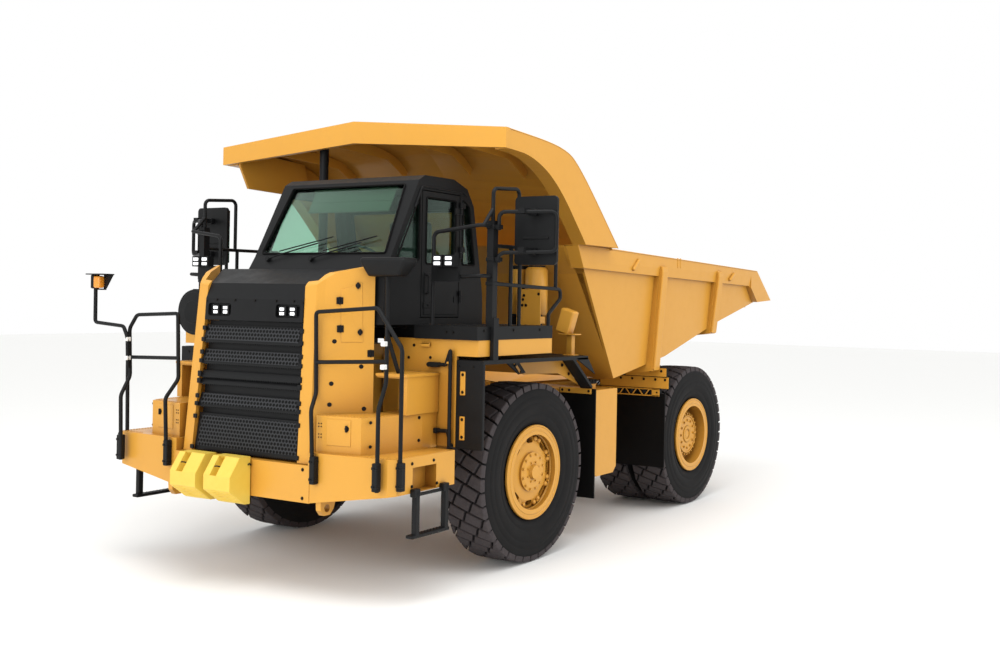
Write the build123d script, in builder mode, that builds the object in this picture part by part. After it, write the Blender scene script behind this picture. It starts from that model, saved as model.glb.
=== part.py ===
from build123d import *
import math
import os

os.makedirs("parts", exist_ok=True)

# Rigid two-axle mining dump truck. Millimetres, +Z up, ground at z = 0.
# The truck faces -Y, its left side is +X.

# --- axles and tyres
WHEELBASE = 3960
FRONT_Y = -2000
REAR_Y = FRONT_Y + WHEELBASE
TYRE_R = 937.5
TYRE_HALF_W = 249
BEAD_R = 432
RIM_FLANGE_R = 495
FRONT_TRACK_X = 1590
REAR_OUTER_X = 1520
REAR_INNER_X = 940

# --- main frame
RAIL_IN_X = 330
RAIL_OUT_X = 450
PIVOT_Y = 2900
PIVOT_Z = 1640
PIVOT_PIN_R = 55
RUN_CLEAR = 6

# --- steering
KINGPIN_X = 1150
STRUT_R = 105

# --- hoist cylinders
HOIST_X = 560
HOIST_FOOT_Y = 100
HOIST_FOOT_Z = 850
HOIST_HEAD_Y = 1450
HOIST_HEAD_Z = 1700
HOIST_BARREL_R = 80
HOIST_ROD_R = 50
HOIST_PIN_R = 35

# --- front end
BUMPER_TOP_Z = 1320
DECK_Z = 2480

# --- cab
CAB_RIGHT_X = -550
CAB_LEFT_X = 1250
CAB_SKIN = 55
DOOR_FRONT_Y = -3190
DOOR_REAR_Y = -2595
DOOR_LOW_Z = 2545
DOOR_TOP_Z = 3800
DOOR_GAP = 10
HINGE_X = 1268
HINGE_Y = -2597
HINGE_R = 15
HINGE_Z = (2700, 3150, 3600)

# --- dump body
BODY_TOP_X = 1790
BODY_TOP_Z = 3100
BODY_SLOPE = 0.0856
BODY_SKIN = 30
FLOOR_DROP = 200
RAIL_OUTER_X = 1860
CANOPY_X = 1975

TUBE_R = 19


def save(block, label):
    block.part.label = label
    export_step(block.part, f"parts/{label}.step")


# ============================================================ running gear

# Polygonal casing with two staggered rows of tread lugs, made once about Z and copied to each wheel.
TYRE_SIDES = 18
LUG_COUNT = 18
LUG_LENGTH = 164
CASING = [(-TYRE_HALF_W, 690), (-225, 885), (225, 885), (TYRE_HALF_W, 690)]  # (distance from the middle, radius)
LUG_ROWS = [(10, 0), (-225, 10)]  # (near edge from the tyre's middle, first angle)
with BuildPart() as tyre:
    for (z_low, r_low), (z_high, r_high) in zip(CASING, CASING[1:]):
        with BuildSketch(Plane.XY.offset(z_low)):
            RegularPolygon(r_low, TYRE_SIDES)
        with BuildSketch(Plane.XY.offset(z_high)):
            RegularPolygon(r_high, TYRE_SIDES)
        loft(ruled=True)
    for z_low, first_angle in LUG_ROWS:
        with BuildSketch(Plane.XY.offset(z_low)):
            with PolarLocations(TYRE_R - 50, LUG_COUNT, start_angle=first_angle):
                Rectangle(100, LUG_LENGTH)
        extrude(amount=215)
    # sidewalls sunk towards the beads, then the bore over the rim
    for side in (1, -1):
        with BuildSketch(Plane.XY.offset(side * 175)):
            RegularPolygon(446, TYRE_SIDES)
        with BuildSketch(Plane.XY.offset(side * TYRE_HALF_W)):
            RegularPolygon(690, TYRE_SIDES)
        loft(ruled=True, mode=Mode.SUBTRACT)
    with BuildSketch(Plane.XY.offset(-TYRE_HALF_W)):
        RegularPolygon(BEAD_R, TYRE_SIDES, major_radius=False)
    extrude(amount=2 * TYRE_HALF_W, mode=Mode.SUBTRACT)


def tyre_ring(centre_x, centre_y):
    return Pos(centre_x, centre_y, TYRE_R) * Rot(0, 90, 0) * tyre.part


with BuildPart() as front_tyre_left:
    add(tyre_ring(FRONT_TRACK_X, FRONT_Y))
save(front_tyre_left, "front_tyre_left")

with BuildPart() as front_tyre_right:
    add(tyre_ring(-FRONT_TRACK_X, FRONT_Y))
save(front_tyre_right, "front_tyre_right")

with BuildPart() as rear_tyres_left:
    add(tyre_ring(REAR_INNER_X, REAR_Y))
    add(tyre_ring(REAR_OUTER_X, REAR_Y))
save(rear_tyres_left, "rear_tyres_left")

with BuildPart() as rear_tyres_right:
    add(tyre_ring(-REAR_INNER_X, REAR_Y))
    add(tyre_ring(-REAR_OUTER_X, REAR_Y))
save(rear_tyres_right, "rear_tyres_right")


def turned(points, centre_x, centre_y, side):
    """Ring turned about the wheel axis; points are (radius, outward offset)."""
    section = Plane((centre_x, centre_y, TYRE_R), x_dir=(0, 0, 1), z_dir=(0, 1, 0))
    with BuildPart(mode=Mode.PRIVATE) as ring:
        with BuildSketch(section):
            with BuildLine():
                Polyline([(r, side * x) for r, x in points], close=True)
            make_face()
        revolve(axis=Axis((centre_x, centre_y, TYRE_R), (1, 0, 0)), revolution_arc=360)
    return ring.part


RIM_BAND = [
    (BEAD_R - 1, -228),
    (RIM_FLANGE_R, -228),
    (RIM_FLANGE_R, -212),
    (BEAD_R - 1, -180),
    (BEAD_R - 1, 180),
    (RIM_FLANGE_R, 212),
    (RIM_FLANGE_R, 228),
    (BEAD_R - 1, 235),
    (BEAD_R - 40, 235),
    (BEAD_R - 40, -228),
]
FRONT_DISC = [
    (BEAD_R - 30, 100),
    (BEAD_R - 30, 140),
    (300, 170),
    (205, 180),
    (205, 205),
    (165, 215),
    (80, 215),
    (70, 250),
    (0, 250),
    (0, 130),
    (205, 130),
    (300, 125),
]
HAND_HOLES = 8
REAR_HUB = [
    (BEAD_R - 30, -60),
    (BEAD_R - 30, 40),
    (330, 40),
    (300, 120),
    (255, 150),
    (0, 150),
    (0, 110),
    (215, 110),
    (215, -760),
    (BEAD_R - 30, -760),
    (BEAD_R - 30, -720),
    (275, -720),
    (275, -60),
]


def front_rim(side):
    """Rim band and dished disc with a ring of hand holes."""
    disc_plane = Plane(origin=(side * FRONT_TRACK_X, FRONT_Y, TYRE_R), x_dir=(0, 1, 0), z_dir=(side, 0, 0))
    with BuildPart(mode=Mode.PRIVATE) as rim:
        add(turned(RIM_BAND, side * FRONT_TRACK_X, FRONT_Y, side))
        add(turned(FRONT_DISC, side * FRONT_TRACK_X, FRONT_Y, side))
        with BuildSketch(disc_plane):
            with PolarLocations(330, HAND_HOLES):
                SlotOverall(120, 56, rotation=90)
        extrude(amount=200, mode=Mode.SUBTRACT)
    return rim.part


with BuildPart() as front_rim_left:
    add(front_rim(1))
save(front_rim_left, "front_rim_left")

with BuildPart() as front_rim_right:
    add(front_rim(-1))
save(front_rim_right, "front_rim_right")

with BuildPart() as rear_rims_left:
    add(turned(RIM_BAND, REAR_OUTER_X, REAR_Y, 1))
    add(turned(RIM_BAND, REAR_INNER_X, REAR_Y, -1))
    add(turned(REAR_HUB, REAR_OUTER_X, REAR_Y, 1))
save(rear_rims_left, "rear_rims_left")

with BuildPart() as rear_rims_right:
    add(turned(RIM_BAND, -REAR_OUTER_X, REAR_Y, -1))
    add(turned(RIM_BAND, -REAR_INNER_X, REAR_Y, 1))
    add(turned(REAR_HUB, -REAR_OUTER_X, REAR_Y, -1))
save(rear_rims_right, "rear_rims_right")


def upright_bar(x, y, z_low, z_high, radius):
    with BuildPart(mode=Mode.PRIVATE) as bar:
        with BuildSketch(Plane.XY.offset(z_low)):
            with Locations((x, y)):
                Circle(radius)
        extrude(amount=z_high - z_low)
    return bar.part


def cross_bar(x_low, x_high, y, z, radius):
    with BuildPart(mode=Mode.PRIVATE) as bar:
        with BuildSketch(Plane.YZ.offset(x_low)):
            with Locations((y, z)):
                Circle(radius)
        extrude(amount=x_high - x_low)
    return bar.part


def block(x, y, z):
    """Box between the named limits, each a (low, high) pair."""
    with BuildPart(mode=Mode.PRIVATE) as box:
        with BuildSketch(Plane.XY.offset(z[0])):
            with Locations(((x[0] + x[1]) / 2, (y[0] + y[1]) / 2)):
                Rectangle(x[1] - x[0], y[1] - y[0])
        extrude(amount=z[1] - z[0])
    return box.part


def side_plate(outline, x_low, x_high):
    """Plate with its outline given as (y, z), between two x."""
    with BuildPart(mode=Mode.PRIVATE) as plate:
        with BuildSketch(Plane.YZ.offset(x_low)):
            with BuildLine():
                Polyline(outline, close=True)
            make_face()
        extrude(amount=x_high - x_low)
    return plate.part


def floor_plate(outline, z_low, z_high):
    """Plate with its outline given as (x, y), between two z."""
    with BuildPart(mode=Mode.PRIVATE) as plate:
        with BuildSketch(Plane.XY.offset(z_low)):
            with BuildLine():
                Polyline(outline, close=True)
            make_face()
        extrude(amount=z_high - z_low)
    return plate.part


def front_plate(outline, y_front, y_rear):
    """Plate with its outline given as (x, z), between two y."""
    with BuildPart(mode=Mode.PRIVATE) as plate:
        with BuildSketch(Plane.XZ.offset(-y_rear)):
            with BuildLine():
                Polyline(outline, close=True)
            make_face()
        extrude(amount=y_rear - y_front)
    return plate.part


def tube(points, radius=TUBE_R, bend=60):
    """Bent round tube through the given points."""
    with BuildPart(mode=Mode.PRIVATE) as pipe:
        with BuildLine() as run:
            if len(points) > 2:
                FilletPolyline(*points, radius=bend)
            else:
                Line(*points)
        with BuildSketch(Plane(origin=points[0], z_dir=Vector(*points[1]) - Vector(*points[0]))):
            Circle(radius)
        sweep(path=run.wires()[0])
    return pipe.part


# Steered spindle: lower strut leg, knuckle with steering arm, and the stub that enters the hub.
STUB = [
    (0, -430),
    (100, -430),
    (150, -300),
    (150, -60),
    (90, -40),
    (90, 110),
    (0, 110),
]


def spindle(side):
    with BuildPart(mode=Mode.PRIVATE) as knuckle:
        add(upright_bar(side * KINGPIN_X, FRONT_Y, 760, 1300, 85))
        add(upright_bar(side * KINGPIN_X, FRONT_Y, 780, 1090, 130))
        add(turned(STUB, side * FRONT_TRACK_X, FRONT_Y, side))
        arm = [
            (side * (KINGPIN_X - 60), FRONT_Y),
            (side * (KINGPIN_X + 60), FRONT_Y),
            (side * (KINGPIN_X - 60), FRONT_Y + 330),
            (side * (KINGPIN_X - 140), FRONT_Y + 330),
        ]
        add(floor_plate(arm, 790, 850))
    return knuckle.part


with BuildPart() as spindle_left:
    add(spindle(1))
save(spindle_left, "spindle_left")

with BuildPart() as spindle_right:
    add(spindle(-1))
save(spindle_right, "spindle_right")

# Upper strut housings, bolted to the frame on brackets.
with BuildPart() as strut_housings:
    for side in (1, -1):
        add(upright_bar(side * KINGPIN_X, FRONT_Y, 1310, 1800, STRUT_R))
        reach = sorted((side * RAIL_OUT_X, side * (KINGPIN_X - 40)))
        add(block(reach, (FRONT_Y - 60, FRONT_Y + 60), (1400, 1480)))
        add(block(reach, (FRONT_Y - 60, FRONT_Y + 60), (1600, 1700)))
        rail_side = sorted((side * RAIL_OUT_X, side * (RAIL_OUT_X + 60)))
        add(block(rail_side, (FRONT_Y - 150, FRONT_Y + 150), (1020, 1760)))
save(strut_housings, "strut_housings")

with BuildPart() as tie_rod:
    add(cross_bar(-900, 900, FRONT_Y + 290, 900, 32))
    for side in (1, -1):
        add(upright_bar(side * 860, FRONT_Y + 290, 862, 938, 48))
save(tie_rod, "tie_rod")

# Rear axle: tubular housing, differential bowl, and the A-frame reaching forward to the frame.
AXLE_TUBE = [
    (0, -1500),
    (150, -1500),
    (150, -700),
    (205, -700),
    (215, -330),
    (325, -150),
    (325, 150),
    (215, 330),
    (205, 700),
    (150, 700),
    (150, 1500),
    (0, 1500),
]
A_FRAME_Y = 420
A_FRAME_Z = 740
with BuildPart() as rear_axle:
    add(turned(AXLE_TUBE, 0, REAR_Y, 1))
    for side in (1, -1):
        add(tube([(side * 330, REAR_Y - 100, 880), (side * 22, A_FRAME_Y, A_FRAME_Z)], 50))
    add(cross_bar(-88, 88, A_FRAME_Y, A_FRAME_Z, 80))
save(rear_axle, "rear_axle")

with BuildPart() as rear_struts:
    for side in (1, -1):
        add(tube([(side * 560, REAR_Y + 215, 960), (side * 530, REAR_Y + 330, 1370)], 62))
        add(cross_bar(*sorted((side * RAIL_OUT_X, side * 600)), REAR_Y + 335, 1390, 70))
        add(block(sorted((side * 500, side * 620)), (REAR_Y, REAR_Y + 290), (900, 1030)))
    add(rear_axle.part, mode=Mode.SUBTRACT)
save(rear_struts, "rear_struts")

# ============================================================ chassis

REAR_TOW_EYE_Y = 2845
REAR_TOW_EYE_R = 28
FRAME_SIDE = [
    (-3760, 1000),
    (-3760, 1290),
    (500, 1290),
    (900, 1500),
    (2960, 1500),
    (2960, 1240),
    (1050, 1240),
    (550, 1000),
]
with BuildPart() as frame_rails:
    for side in (1, -1):
        add(side_plate(FRAME_SIDE, *sorted((side * RAIL_IN_X, side * RAIL_OUT_X))))
        lug = [
            (PIVOT_Y - 170, 1490),
            (PIVOT_Y - 70, PIVOT_Z + 90),
            (PIVOT_Y + 60, PIVOT_Z + 90),
            (PIVOT_Y + 60, 1490),
        ]
        add(side_plate(lug, *sorted((side * RAIL_IN_X, side * RAIL_OUT_X))))
        add(cross_bar(*sorted((side * 190, side * RAIL_OUT_X)), PIVOT_Y, PIVOT_Z, PIVOT_PIN_R))
        foot = [
            (HOIST_FOOT_Y - 90, HOIST_FOOT_Z - 90),
            (HOIST_FOOT_Y - 90, 1100),
            (HOIST_FOOT_Y + 90, 1100),
            (HOIST_FOOT_Y + 90, HOIST_FOOT_Z - 90),
        ]
        add(side_plate(foot, *sorted((side * (RAIL_OUT_X - 40), side * (HOIST_X - 90)))))
        add(cross_bar(*sorted((side * (RAIL_OUT_X - 20), side * (HOIST_X + 70))),
                      HOIST_FOOT_Y, HOIST_FOOT_Z, HOIST_PIN_R))
        add(block(sorted((side * 90, side * 130)), (A_FRAME_Y - 60, A_FRAME_Y + 60), (680, 1120)))
    add(cross_bar(-340, 340, -3500, 1100, 80))
    add(cross_bar(-340, 340, -1500, 1215, 60))
    add(cross_bar(-340, 340, A_FRAME_Y, 1160, 80))
    add(cross_bar(-340, 340, 2650, 1370, 100))
    # tongue on the last cross tube, with a hole for an upright tow pin
    tongue = [(-130, 2650), (-75, 2905), (75, 2905), (130, 2650)]
    add(floor_plate(tongue, 1300, 1350))
    add(upright_bar(0, REAR_TOW_EYE_Y, 1290, 1360, REAR_TOW_EYE_R), mode=Mode.SUBTRACT)
save(frame_rails, "frame_rails")

TOW_EYE = (-4150, 815)
TOW_EYE_R = 35
TOW_LUG = [(-4240, 1010), (-4228, 800), (-4190, 750), (-4115, 750), (-4070, 800), (-4000, 1010)]

# Bumper: centre beam under the grille and one folded wing each side with a step pocket.
with BuildPart() as front_bumper:
    for side in (1, -1):
        wing = [
            (side * 880, -4257),
            (side * 1766, -4200),
            (side * 1830, -4150),
            (side * 1830, -3350),
            (side * 1500, -3350),
            (side * 1500, -3700),
            (side * 880, -3700),
        ]
        add(floor_plate(wing, 862, BUMPER_TOP_Z))
        rise = [(side * 895, 800), (side * 1900, 800), (side * 1900, 1010), (side * 895, 862)]
        add(front_plate(rise, -4300, -3300), mode=Mode.SUBTRACT)
        add(side_plate(TOW_LUG, *sorted((side * 960, side * 1020))))
        add(cross_bar(*sorted((side * 950, side * 1030)), TOW_EYE[0], TOW_EYE[1], TOW_EYE_R), mode=Mode.SUBTRACT)
    add(block((-900, 900), (-4260, -3760), (860, 1200)))
    for side in (1, -1):
        add(block(sorted((side * 1700, side * 1850)), (-3942, -3615), (1006, 1225)), mode=Mode.SUBTRACT)
save(front_bumper, "front_bumper")

with BuildPart() as wheel_chocks:
    for centre in (-470, -10):
        wedge = [
            (-4510, 850),
            (-4510, 1060),
            (-4400, 1230),
            (-4265, 1230),
            (-4265, 900),
            (-4330, 850),
        ]
        add(side_plate(wedge, centre - 175, centre + 175))
save(wheel_chocks, "wheel_chocks")

# Steps each side: a closed locker below, and above it a tread on side plates, open in front.
HOOD_REAR_X = {1: 1170, -1: 960}
with BuildPart() as step_boxes:
    for side in (1, -1):
        inner_x = HOOD_REAR_X[side] + 20
        lower = [
            (side * 915, -4195),
            (side * 1395, -4136),
            (side * 1463, -4025),
            (side * 1543, -3480),
            (side * 1543, -3270),
            (side * inner_x, -3270),
            (side * inner_x, -3730),
            (side * 915, -4120),
        ]
        add(floor_plate(lower, BUMPER_TOP_Z, 1655))
        add(block(sorted((side * inner_x, side * 1560)), (-3720, -3270), (1655, 2025)))
        toe_space = sorted((side * inner_x, side * 1490))
        add(block(toe_space, (-3730, -3420), (1656, 1990)), mode=Mode.SUBTRACT)
        add(block(sorted((side * inner_x, side * 1570)), (-3735, -3270), (2005, 2030)))
save(step_boxes, "step_boxes")

# Stirrup steps hung from the side of the bumper wings: two flat hangers and a tread.
with BuildPart() as lower_ladders:
    for side in (1, -1):
        for bar_y in (-3960, -3560):
            hanger = [
                (bar_y - 30, 600),
                (bar_y - 30, 1040),
                (bar_y + 30, 1040),
                (bar_y + 30, 600),
            ]
            add(side_plate(hanger, *sorted((side * 1832, side * 1850))))
            add(block(sorted((side * 1850, side * 1885)), (bar_y - 25, bar_y + 25), (960, 1040)))
        add(block(sorted((side * 1800, side * 1885)), (-3995, -3525), (600, 640)))
        add(side_plate([(-3930, 965), (-3930, 1000), (-3590, 1000), (-3590, 965)],
                       *sorted((side * 1832, side * 1850))))
save(lower_ladders, "lower_ladders")

# Handrails on the bumper, either side of the hood; the right one also carries the mirror arm.
RAIL_FEET = [(977, -4285, 1040), (1708, -4265, 1040), (1856, -4140, 1060)]
with BuildPart() as front_handrails:
    for side in (1, -1):
        # inner leg, top run and the slope that goes on down as the third leg
        add(tube([
            (side * 977, -4285, 1040),
            (side * 977, -4285, 1500),
            (side * 960, -4270, 2594),
            (side * 1670, -4250, 2644),
            (side * 1856, -4140, 2290),
            (side * 1856, -4140, 1060),
        ]))
        # second leg, offset forward at half height to clear the bumper's corner
        add(tube([
            (side * 1748, -4204, 2470),
            (side * 1748, -4215, 1990),
            (side * 1708, -4265, 1760),
            (side * 1708, -4265, 1040),
        ], bend=50))
        add(tube([(side * 968, -4274, 2144), (side * 1748, -4212, 2177)]))
        for foot_x, foot_y, foot_z in RAIL_FEET:
            inner_y = foot_y + (35 if foot_x < 1800 else 30)
            add(block(sorted((side * (foot_x - 27), side * (foot_x + 27))), (foot_y - 27, inner_y), (foot_z, 1300)))
    add(tube([
        (-1748, -4210, 2300),
        (-1790, -4230, 2450),
        (-2120, -4200, 2560),
        (-2170, -4200, 2780),
    ]))
    # mirror arm's amber lamp and its visor
    add(block((-2250, -2090), (-4240, -4160), (2770, 2920)))
    add(block((-2260, -2060), (-4310, -4160), (2915, 2930)))
    add(front_bumper.part, mode=Mode.SUBTRACT)
save(front_handrails, "front_handrails")

# ============================================================ hood

# Folded side panels: a narrow face beside the grille, then a flank that flares out to the cab.
HOOD_PLAN = [(705, 0), (838, 12), (885, 70)]  # (x, distance behind the front line)
HOOD_SKIN = 45
HOOD_REAR_Y = -3742
HOOD_TOP = [(-4300, 3300), (-4300, 2700), (-4150, 2760), (-4085, 2850), (-3960, 2960), (-3700, 3050), (-3700, 3300)]


def hood_outline(side, front_y, narrowing):
    """Panel's plan at one height; the front line leans back and in towards the top."""
    rear_x = HOOD_REAR_X[side]
    outer = [(x - narrowing, front_y + back) for x, back in HOOD_PLAN] + [(rear_x, HOOD_REAR_Y)]
    inner = [(rear_x - HOOD_SKIN, HOOD_REAR_Y)]
    inner += [(x - narrowing - shift, front_y + back + 40) for (x, back), shift in zip(HOOD_PLAN[::-1], (48, 25, 0))]
    return [(side * x, y) for x, y in outer + inner]


with BuildPart() as hood_panels:
    for side in (1, -1):
        for height, front_y, narrowing in ((1205, -4220, 0), (3080, -4085, 62)):
            with BuildSketch(Plane.XY.offset(height)):
                with BuildLine():
                    Polyline(hood_outline(side, front_y, narrowing), close=True)
                make_face()
        loft(ruled=True)
    add(side_plate(HOOD_TOP, -1300, 1300), mode=Mode.SUBTRACT)
    for side in (1, -1):
        add(block(sorted((side * 868, side * 1300)), (-4300, -3700), (1200, 1325)), mode=Mode.SUBTRACT)
save(hood_panels, "hood_panels")

# Black top of the hood, and the lamp plate under its edge with a twin lamp in each opening.
COVER_SIDE = [
    (-4135, 2490),
    (-4122, 2700),
    (-4065, 2850),
    (-3742, 3000),
    (-3742, 2960),
    (-4040, 2815),
    (-4082, 2700),
    (-4095, 2490),
]
LAMP_OPENING = (300, 615)
with BuildPart() as hood_cover:
    add(side_plate(COVER_SIDE, -1100, 1100))
    add(floor_plate([(655, -4200), (655, -4060), (1105, -3700), (1200, -3700), (1200, -4200)], 2400, 3100),
        mode=Mode.SUBTRACT)
    add(floor_plate([(-655, -4200), (-655, -4060), (-900, -3700), (-1200, -3700), (-1200, -4200)], 2400, 3100),
        mode=Mode.SUBTRACT)
    for side in (1, -1):
        middle = side * sum(LAMP_OPENING) / 2
        with BuildSketch(Plane.XZ.offset(4050)):
            with Locations((middle, 2592)):
                RectangleRounded(LAMP_OPENING[1] - LAMP_OPENING[0], 125, 30)
        extrude(amount=100, mode=Mode.SUBTRACT)
        add(block(sorted((side * 285, side * 630)), (-4097, -4050), (2500, 2684)))
        add(block(sorted((side * 335, side * 430)), (-4125, -4090), (2548, 2636)))
        add(block(sorted((side * 470, side * 565)), (-4125, -4090), (2548, 2636)))
    add(hood_panels.part, mode=Mode.SUBTRACT)
save(hood_cover, "hood_cover")

# Grille: folded louvres, each leaning out over the gap below it, between the two hood panels.
GRILLE_BACK_Y = -4040
LOUVRES = [(2440, 2271), (2205, 2062), (1996, 1929), (1925, 1863), (1777, 1644), (1578, 1225)]  # (top z, foot z)


def grille_front(z):
    return -4192 + (z - 1209) * 0.045


with BuildPart() as grille:
    fold = [(GRILLE_BACK_Y, 1212), (GRILLE_BACK_Y, 2484), (grille_front(2484) + 62, 2484)]
    for top_z, foot_z in LOUVRES:
        fold.append((grille_front(top_z) + 62, top_z))
        fold.append((grille_front(top_z) + 30, top_z))
        fold.append((grille_front(foot_z), foot_z + 18))
        fold.append((grille_front(foot_z), foot_z))
        fold.append((grille_front(foot_z) + 62, foot_z))
    fold.append((grille_front(1212) + 62, 1212))
    add(side_plate(fold, -700, 700))
    trim = [(-700, 1200), (700, 1200), (645, 2500), (-645, 2500)]
    add(front_plate(trim, -4300, -4000), mode=Mode.INTERSECT)
save(grille, "grille")

with BuildPart() as engine_block:
    add(block((-320, 320), (-3650, -2500), (1200, 2250)))
save(engine_block, "engine_block")

with BuildPart() as drive_line:
    add(block((-260, 260), (-2490, -1620), (980, 1560)))
    add(tube([(0, -1640, 1050), (0, REAR_Y - 332, 945)], 60))
save(drive_line, "drive_line")

# ============================================================ platforms, fenders and tanks

with BuildPart() as deck_platform:
    for side in (1, -1):
        x_in = 1262 if side > 0 else -565
        add(block(sorted((x_in, side * 2020)), (-3290, -2010), (2440, DECK_Z)))
        add(block(sorted((side * 1980, side * 2020)), (-3290, -2010), (2350, DECK_Z)))
        add(block(sorted((x_in, side * 2020)), (-3290, -3250), (2350, DECK_Z)))
    for beam_y in (-2100, -3200):
        add(block((-1980, 1980), (beam_y, beam_y + 90), (2330, 2440)))
        for side in (1, -1):
            add(block(sorted((side * 350, side * 440)), (beam_y, beam_y + 90), (1290, 2330)))
    # plate behind the cab with two upright accumulators on it, and the outer tank beside it
    add(block((1000, 1440), (-1360, -1330), (2150, 2900)))
    for bottle_x in (1090, 1330):
        add(upright_bar(bottle_x, -1300, 2560, 3130, 100))
        add(block((bottle_x - 40, bottle_x + 40), (-1340, -1300), (2600, 3000)))
    add(block((1000, 1100), (-2020, -1350), (2340, 2440)))
    add(block((1340, 1440), (-2020, -1350), (2340, 2440)))
    for pad_x in (-450, 1150):
        for pad_y in (-3155, -2245):
            add(block((pad_x - 60, pad_x + 60), (pad_y - 45, pad_y + 145), (2400, DECK_Z)))
save(deck_platform, "deck_platform")

with BuildPart() as front_panels:
    for side in (1, -1):
        add(block(sorted((side * 860, side * 1760)), (-3260, -3230), (1330, 2350)))
        add(block(sorted((side * 1740, side * 2015)), (-3260, -3230), (2195, 2350)))
        add(block(sorted((side * 1985, side * 2015)), (-3240, -2010), (2195, 2350)))
        add(tube([
            (side * 1450, -3250, 2105),
            (side * 1450, -3305, 2105),
            (side * 1670, -3305, 2110),
            (side * 1722, -3305, 2250),
            (side * 1722, -3305, 1340),
            (side * 1722, -3250, 1340),
        ], radius=15, bend=26))
save(front_panels, "front_panels")

with BuildPart() as fenders:
    for side in (1, -1):
        add(block(sorted((side * 1762, side * 2080)), (-3262, -3229), (1315, 2160)))
        gusset = [(-1340, 2120), (-900, 2120), (-1080, 1960)]
        add(side_plate(gusset, *sorted((side * 2040, side * 2060))))
        arch = [
            (-3229, 2120),
            (-3229, 2160),
            (-1240, 2130),
            (-790, 1760),
            (-815, 1735),
            (-1255, 2095),
        ]
        add(side_plate(arch, *sorted((side * 1330, side * 2060))))
        add(block(sorted((side * 350, side * 1340)), (-2700, -2620), (2040, 2130)))
        add(block(sorted((side * 350, side * 440)), (-2700, -2620), (1290, 2050)))
save(fenders, "fenders")

with BuildPart() as front_flaps:
    for side in (1, -1):
        add(block(sorted((side * 1350, side * 1840)), (-812, -792), (480, 1735)))
save(front_flaps, "front_flaps")

# Hydraulic tank on the left, fuel tank on the right, each on a bracket from the frame.
with BuildPart() as side_tanks:
    for side in (1, -1):
        tank = [(-640, 760), (-640, 1700), (-100, 1700), (-100, 760), (-170, 690), (-570, 690)]
        add(side_plate(tank, *sorted((side * 560, side * 1720))))
        add(block(sorted((side * 700, side * 1600)), (-655, -640), (1150, 1190)))
        add(upright_bar(side * 1500, -370, 1700, 1760, 70))
        add(block(sorted((side * RAIL_OUT_X, side * 600)), (-600, -500), (1050, 1250)))
save(side_tanks, "side_tanks")

# ============================================================ cab

CAB_SIDE = [
    (-3720, DECK_Z),
    (-3700, 3000),
    (-3620, 3130),
    (-3240, 3890),
    (-3150, 3945),
    (-2700, 3950),
    (-2480, 3870),
    (-2370, 3700),
    (-2200, 2800),
    (-2190, DECK_Z),
]
# window openings, each outline seen square to its wall
SCREEN = [(-465, 3160), (1165, 3160), (1100, 3850), (-400, 3850)]
REAR_WINDOW = [(-420, 3120), (1120, 3120), (1120, 3650), (-420, 3650)]
QUARTER_FRONT = [(-3570, 3100), (-3215, 3800), (-3215, 3100)]
QUARTER_REAR = [(-2560, 3080), (-2560, 3780), (-2440, 3700), (-2330, 3080)]
RIGHT_WINDOW = [(-3500, 3100), (-3200, 3780), (-2520, 3780), (-2420, 3100)]
LEFT_WALL = (CAB_LEFT_X - CAB_SKIN - 5, CAB_LEFT_X + 5)
RIGHT_WALL = (CAB_RIGHT_X - 5, CAB_RIGHT_X + CAB_SKIN + 5)
CAB_CORNER = 90
WINDOW_CORNER = 45


def rounded_plate(plane, outline, corner, depth):
    """Plate with rounded corners, its outline given in the plane's own axes."""
    with BuildPart(mode=Mode.PRIVATE) as plate:
        with BuildSketch(plane) as face:
            with BuildLine():
                Polyline(outline, close=True)
            make_face()
            fillet(face.vertices(), corner)
        extrude(amount=depth)
    return plate.part


def side_pane(outline, x_low, x_high, corner=WINDOW_CORNER):
    return rounded_plate(Plane.YZ.offset(x_low), outline, corner, x_high - x_low)


def front_pane(outline, y_front, y_rear, corner=WINDOW_CORNER):
    return rounded_plate(Plane.XZ.offset(-y_rear), outline, corner, y_rear - y_front)


def cab_prism(shrink, x_low, x_high):
    """The cab's side outline with rounded roof corners, drawn in by the skin where asked."""
    with BuildPart(mode=Mode.PRIVATE) as prism:
        with BuildSketch(Plane.YZ.offset(x_low)) as face:
            with BuildLine():
                Polyline(CAB_SIDE, close=True)
            make_face()
            fillet(face.vertices().filter_by(lambda v: v.Z > 3100), CAB_CORNER)
            if shrink:
                offset(amount=-shrink, kind=Kind.INTERSECTION, mode=Mode.REPLACE)
        extrude(amount=x_high - x_low)
    return prism.part


with BuildPart() as cab_shell:
    add(cab_prism(0, CAB_RIGHT_X, CAB_LEFT_X))
    add(cab_prism(CAB_SKIN, CAB_RIGHT_X + CAB_SKIN, CAB_LEFT_X - CAB_SKIN), mode=Mode.SUBTRACT)
    add(front_pane(SCREEN, -3800, -3100), mode=Mode.SUBTRACT)
    add(front_pane(REAR_WINDOW, -2480, -2150), mode=Mode.SUBTRACT)
    add(side_pane(QUARTER_FRONT, *LEFT_WALL), mode=Mode.SUBTRACT)
    add(side_pane(QUARTER_REAR, *LEFT_WALL), mode=Mode.SUBTRACT)
    add(side_pane(RIGHT_WINDOW, *RIGHT_WALL), mode=Mode.SUBTRACT)
    add(block(LEFT_WALL, (DOOR_FRONT_Y, DOOR_REAR_Y), (DOOR_LOW_Z, DOOR_TOP_Z)), mode=Mode.SUBTRACT)
    for knuckle_z in HINGE_Z:
        add(upright_bar(HINGE_X, HINGE_Y, knuckle_z + 66, knuckle_z + 120, HINGE_R))
        add(block((CAB_LEFT_X - 5, CAB_LEFT_X + 12), (HINGE_Y + 5, HINGE_Y + 80), (knuckle_z + 66, knuckle_z + 120)))
save(cab_shell, "cab_shell")

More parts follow.
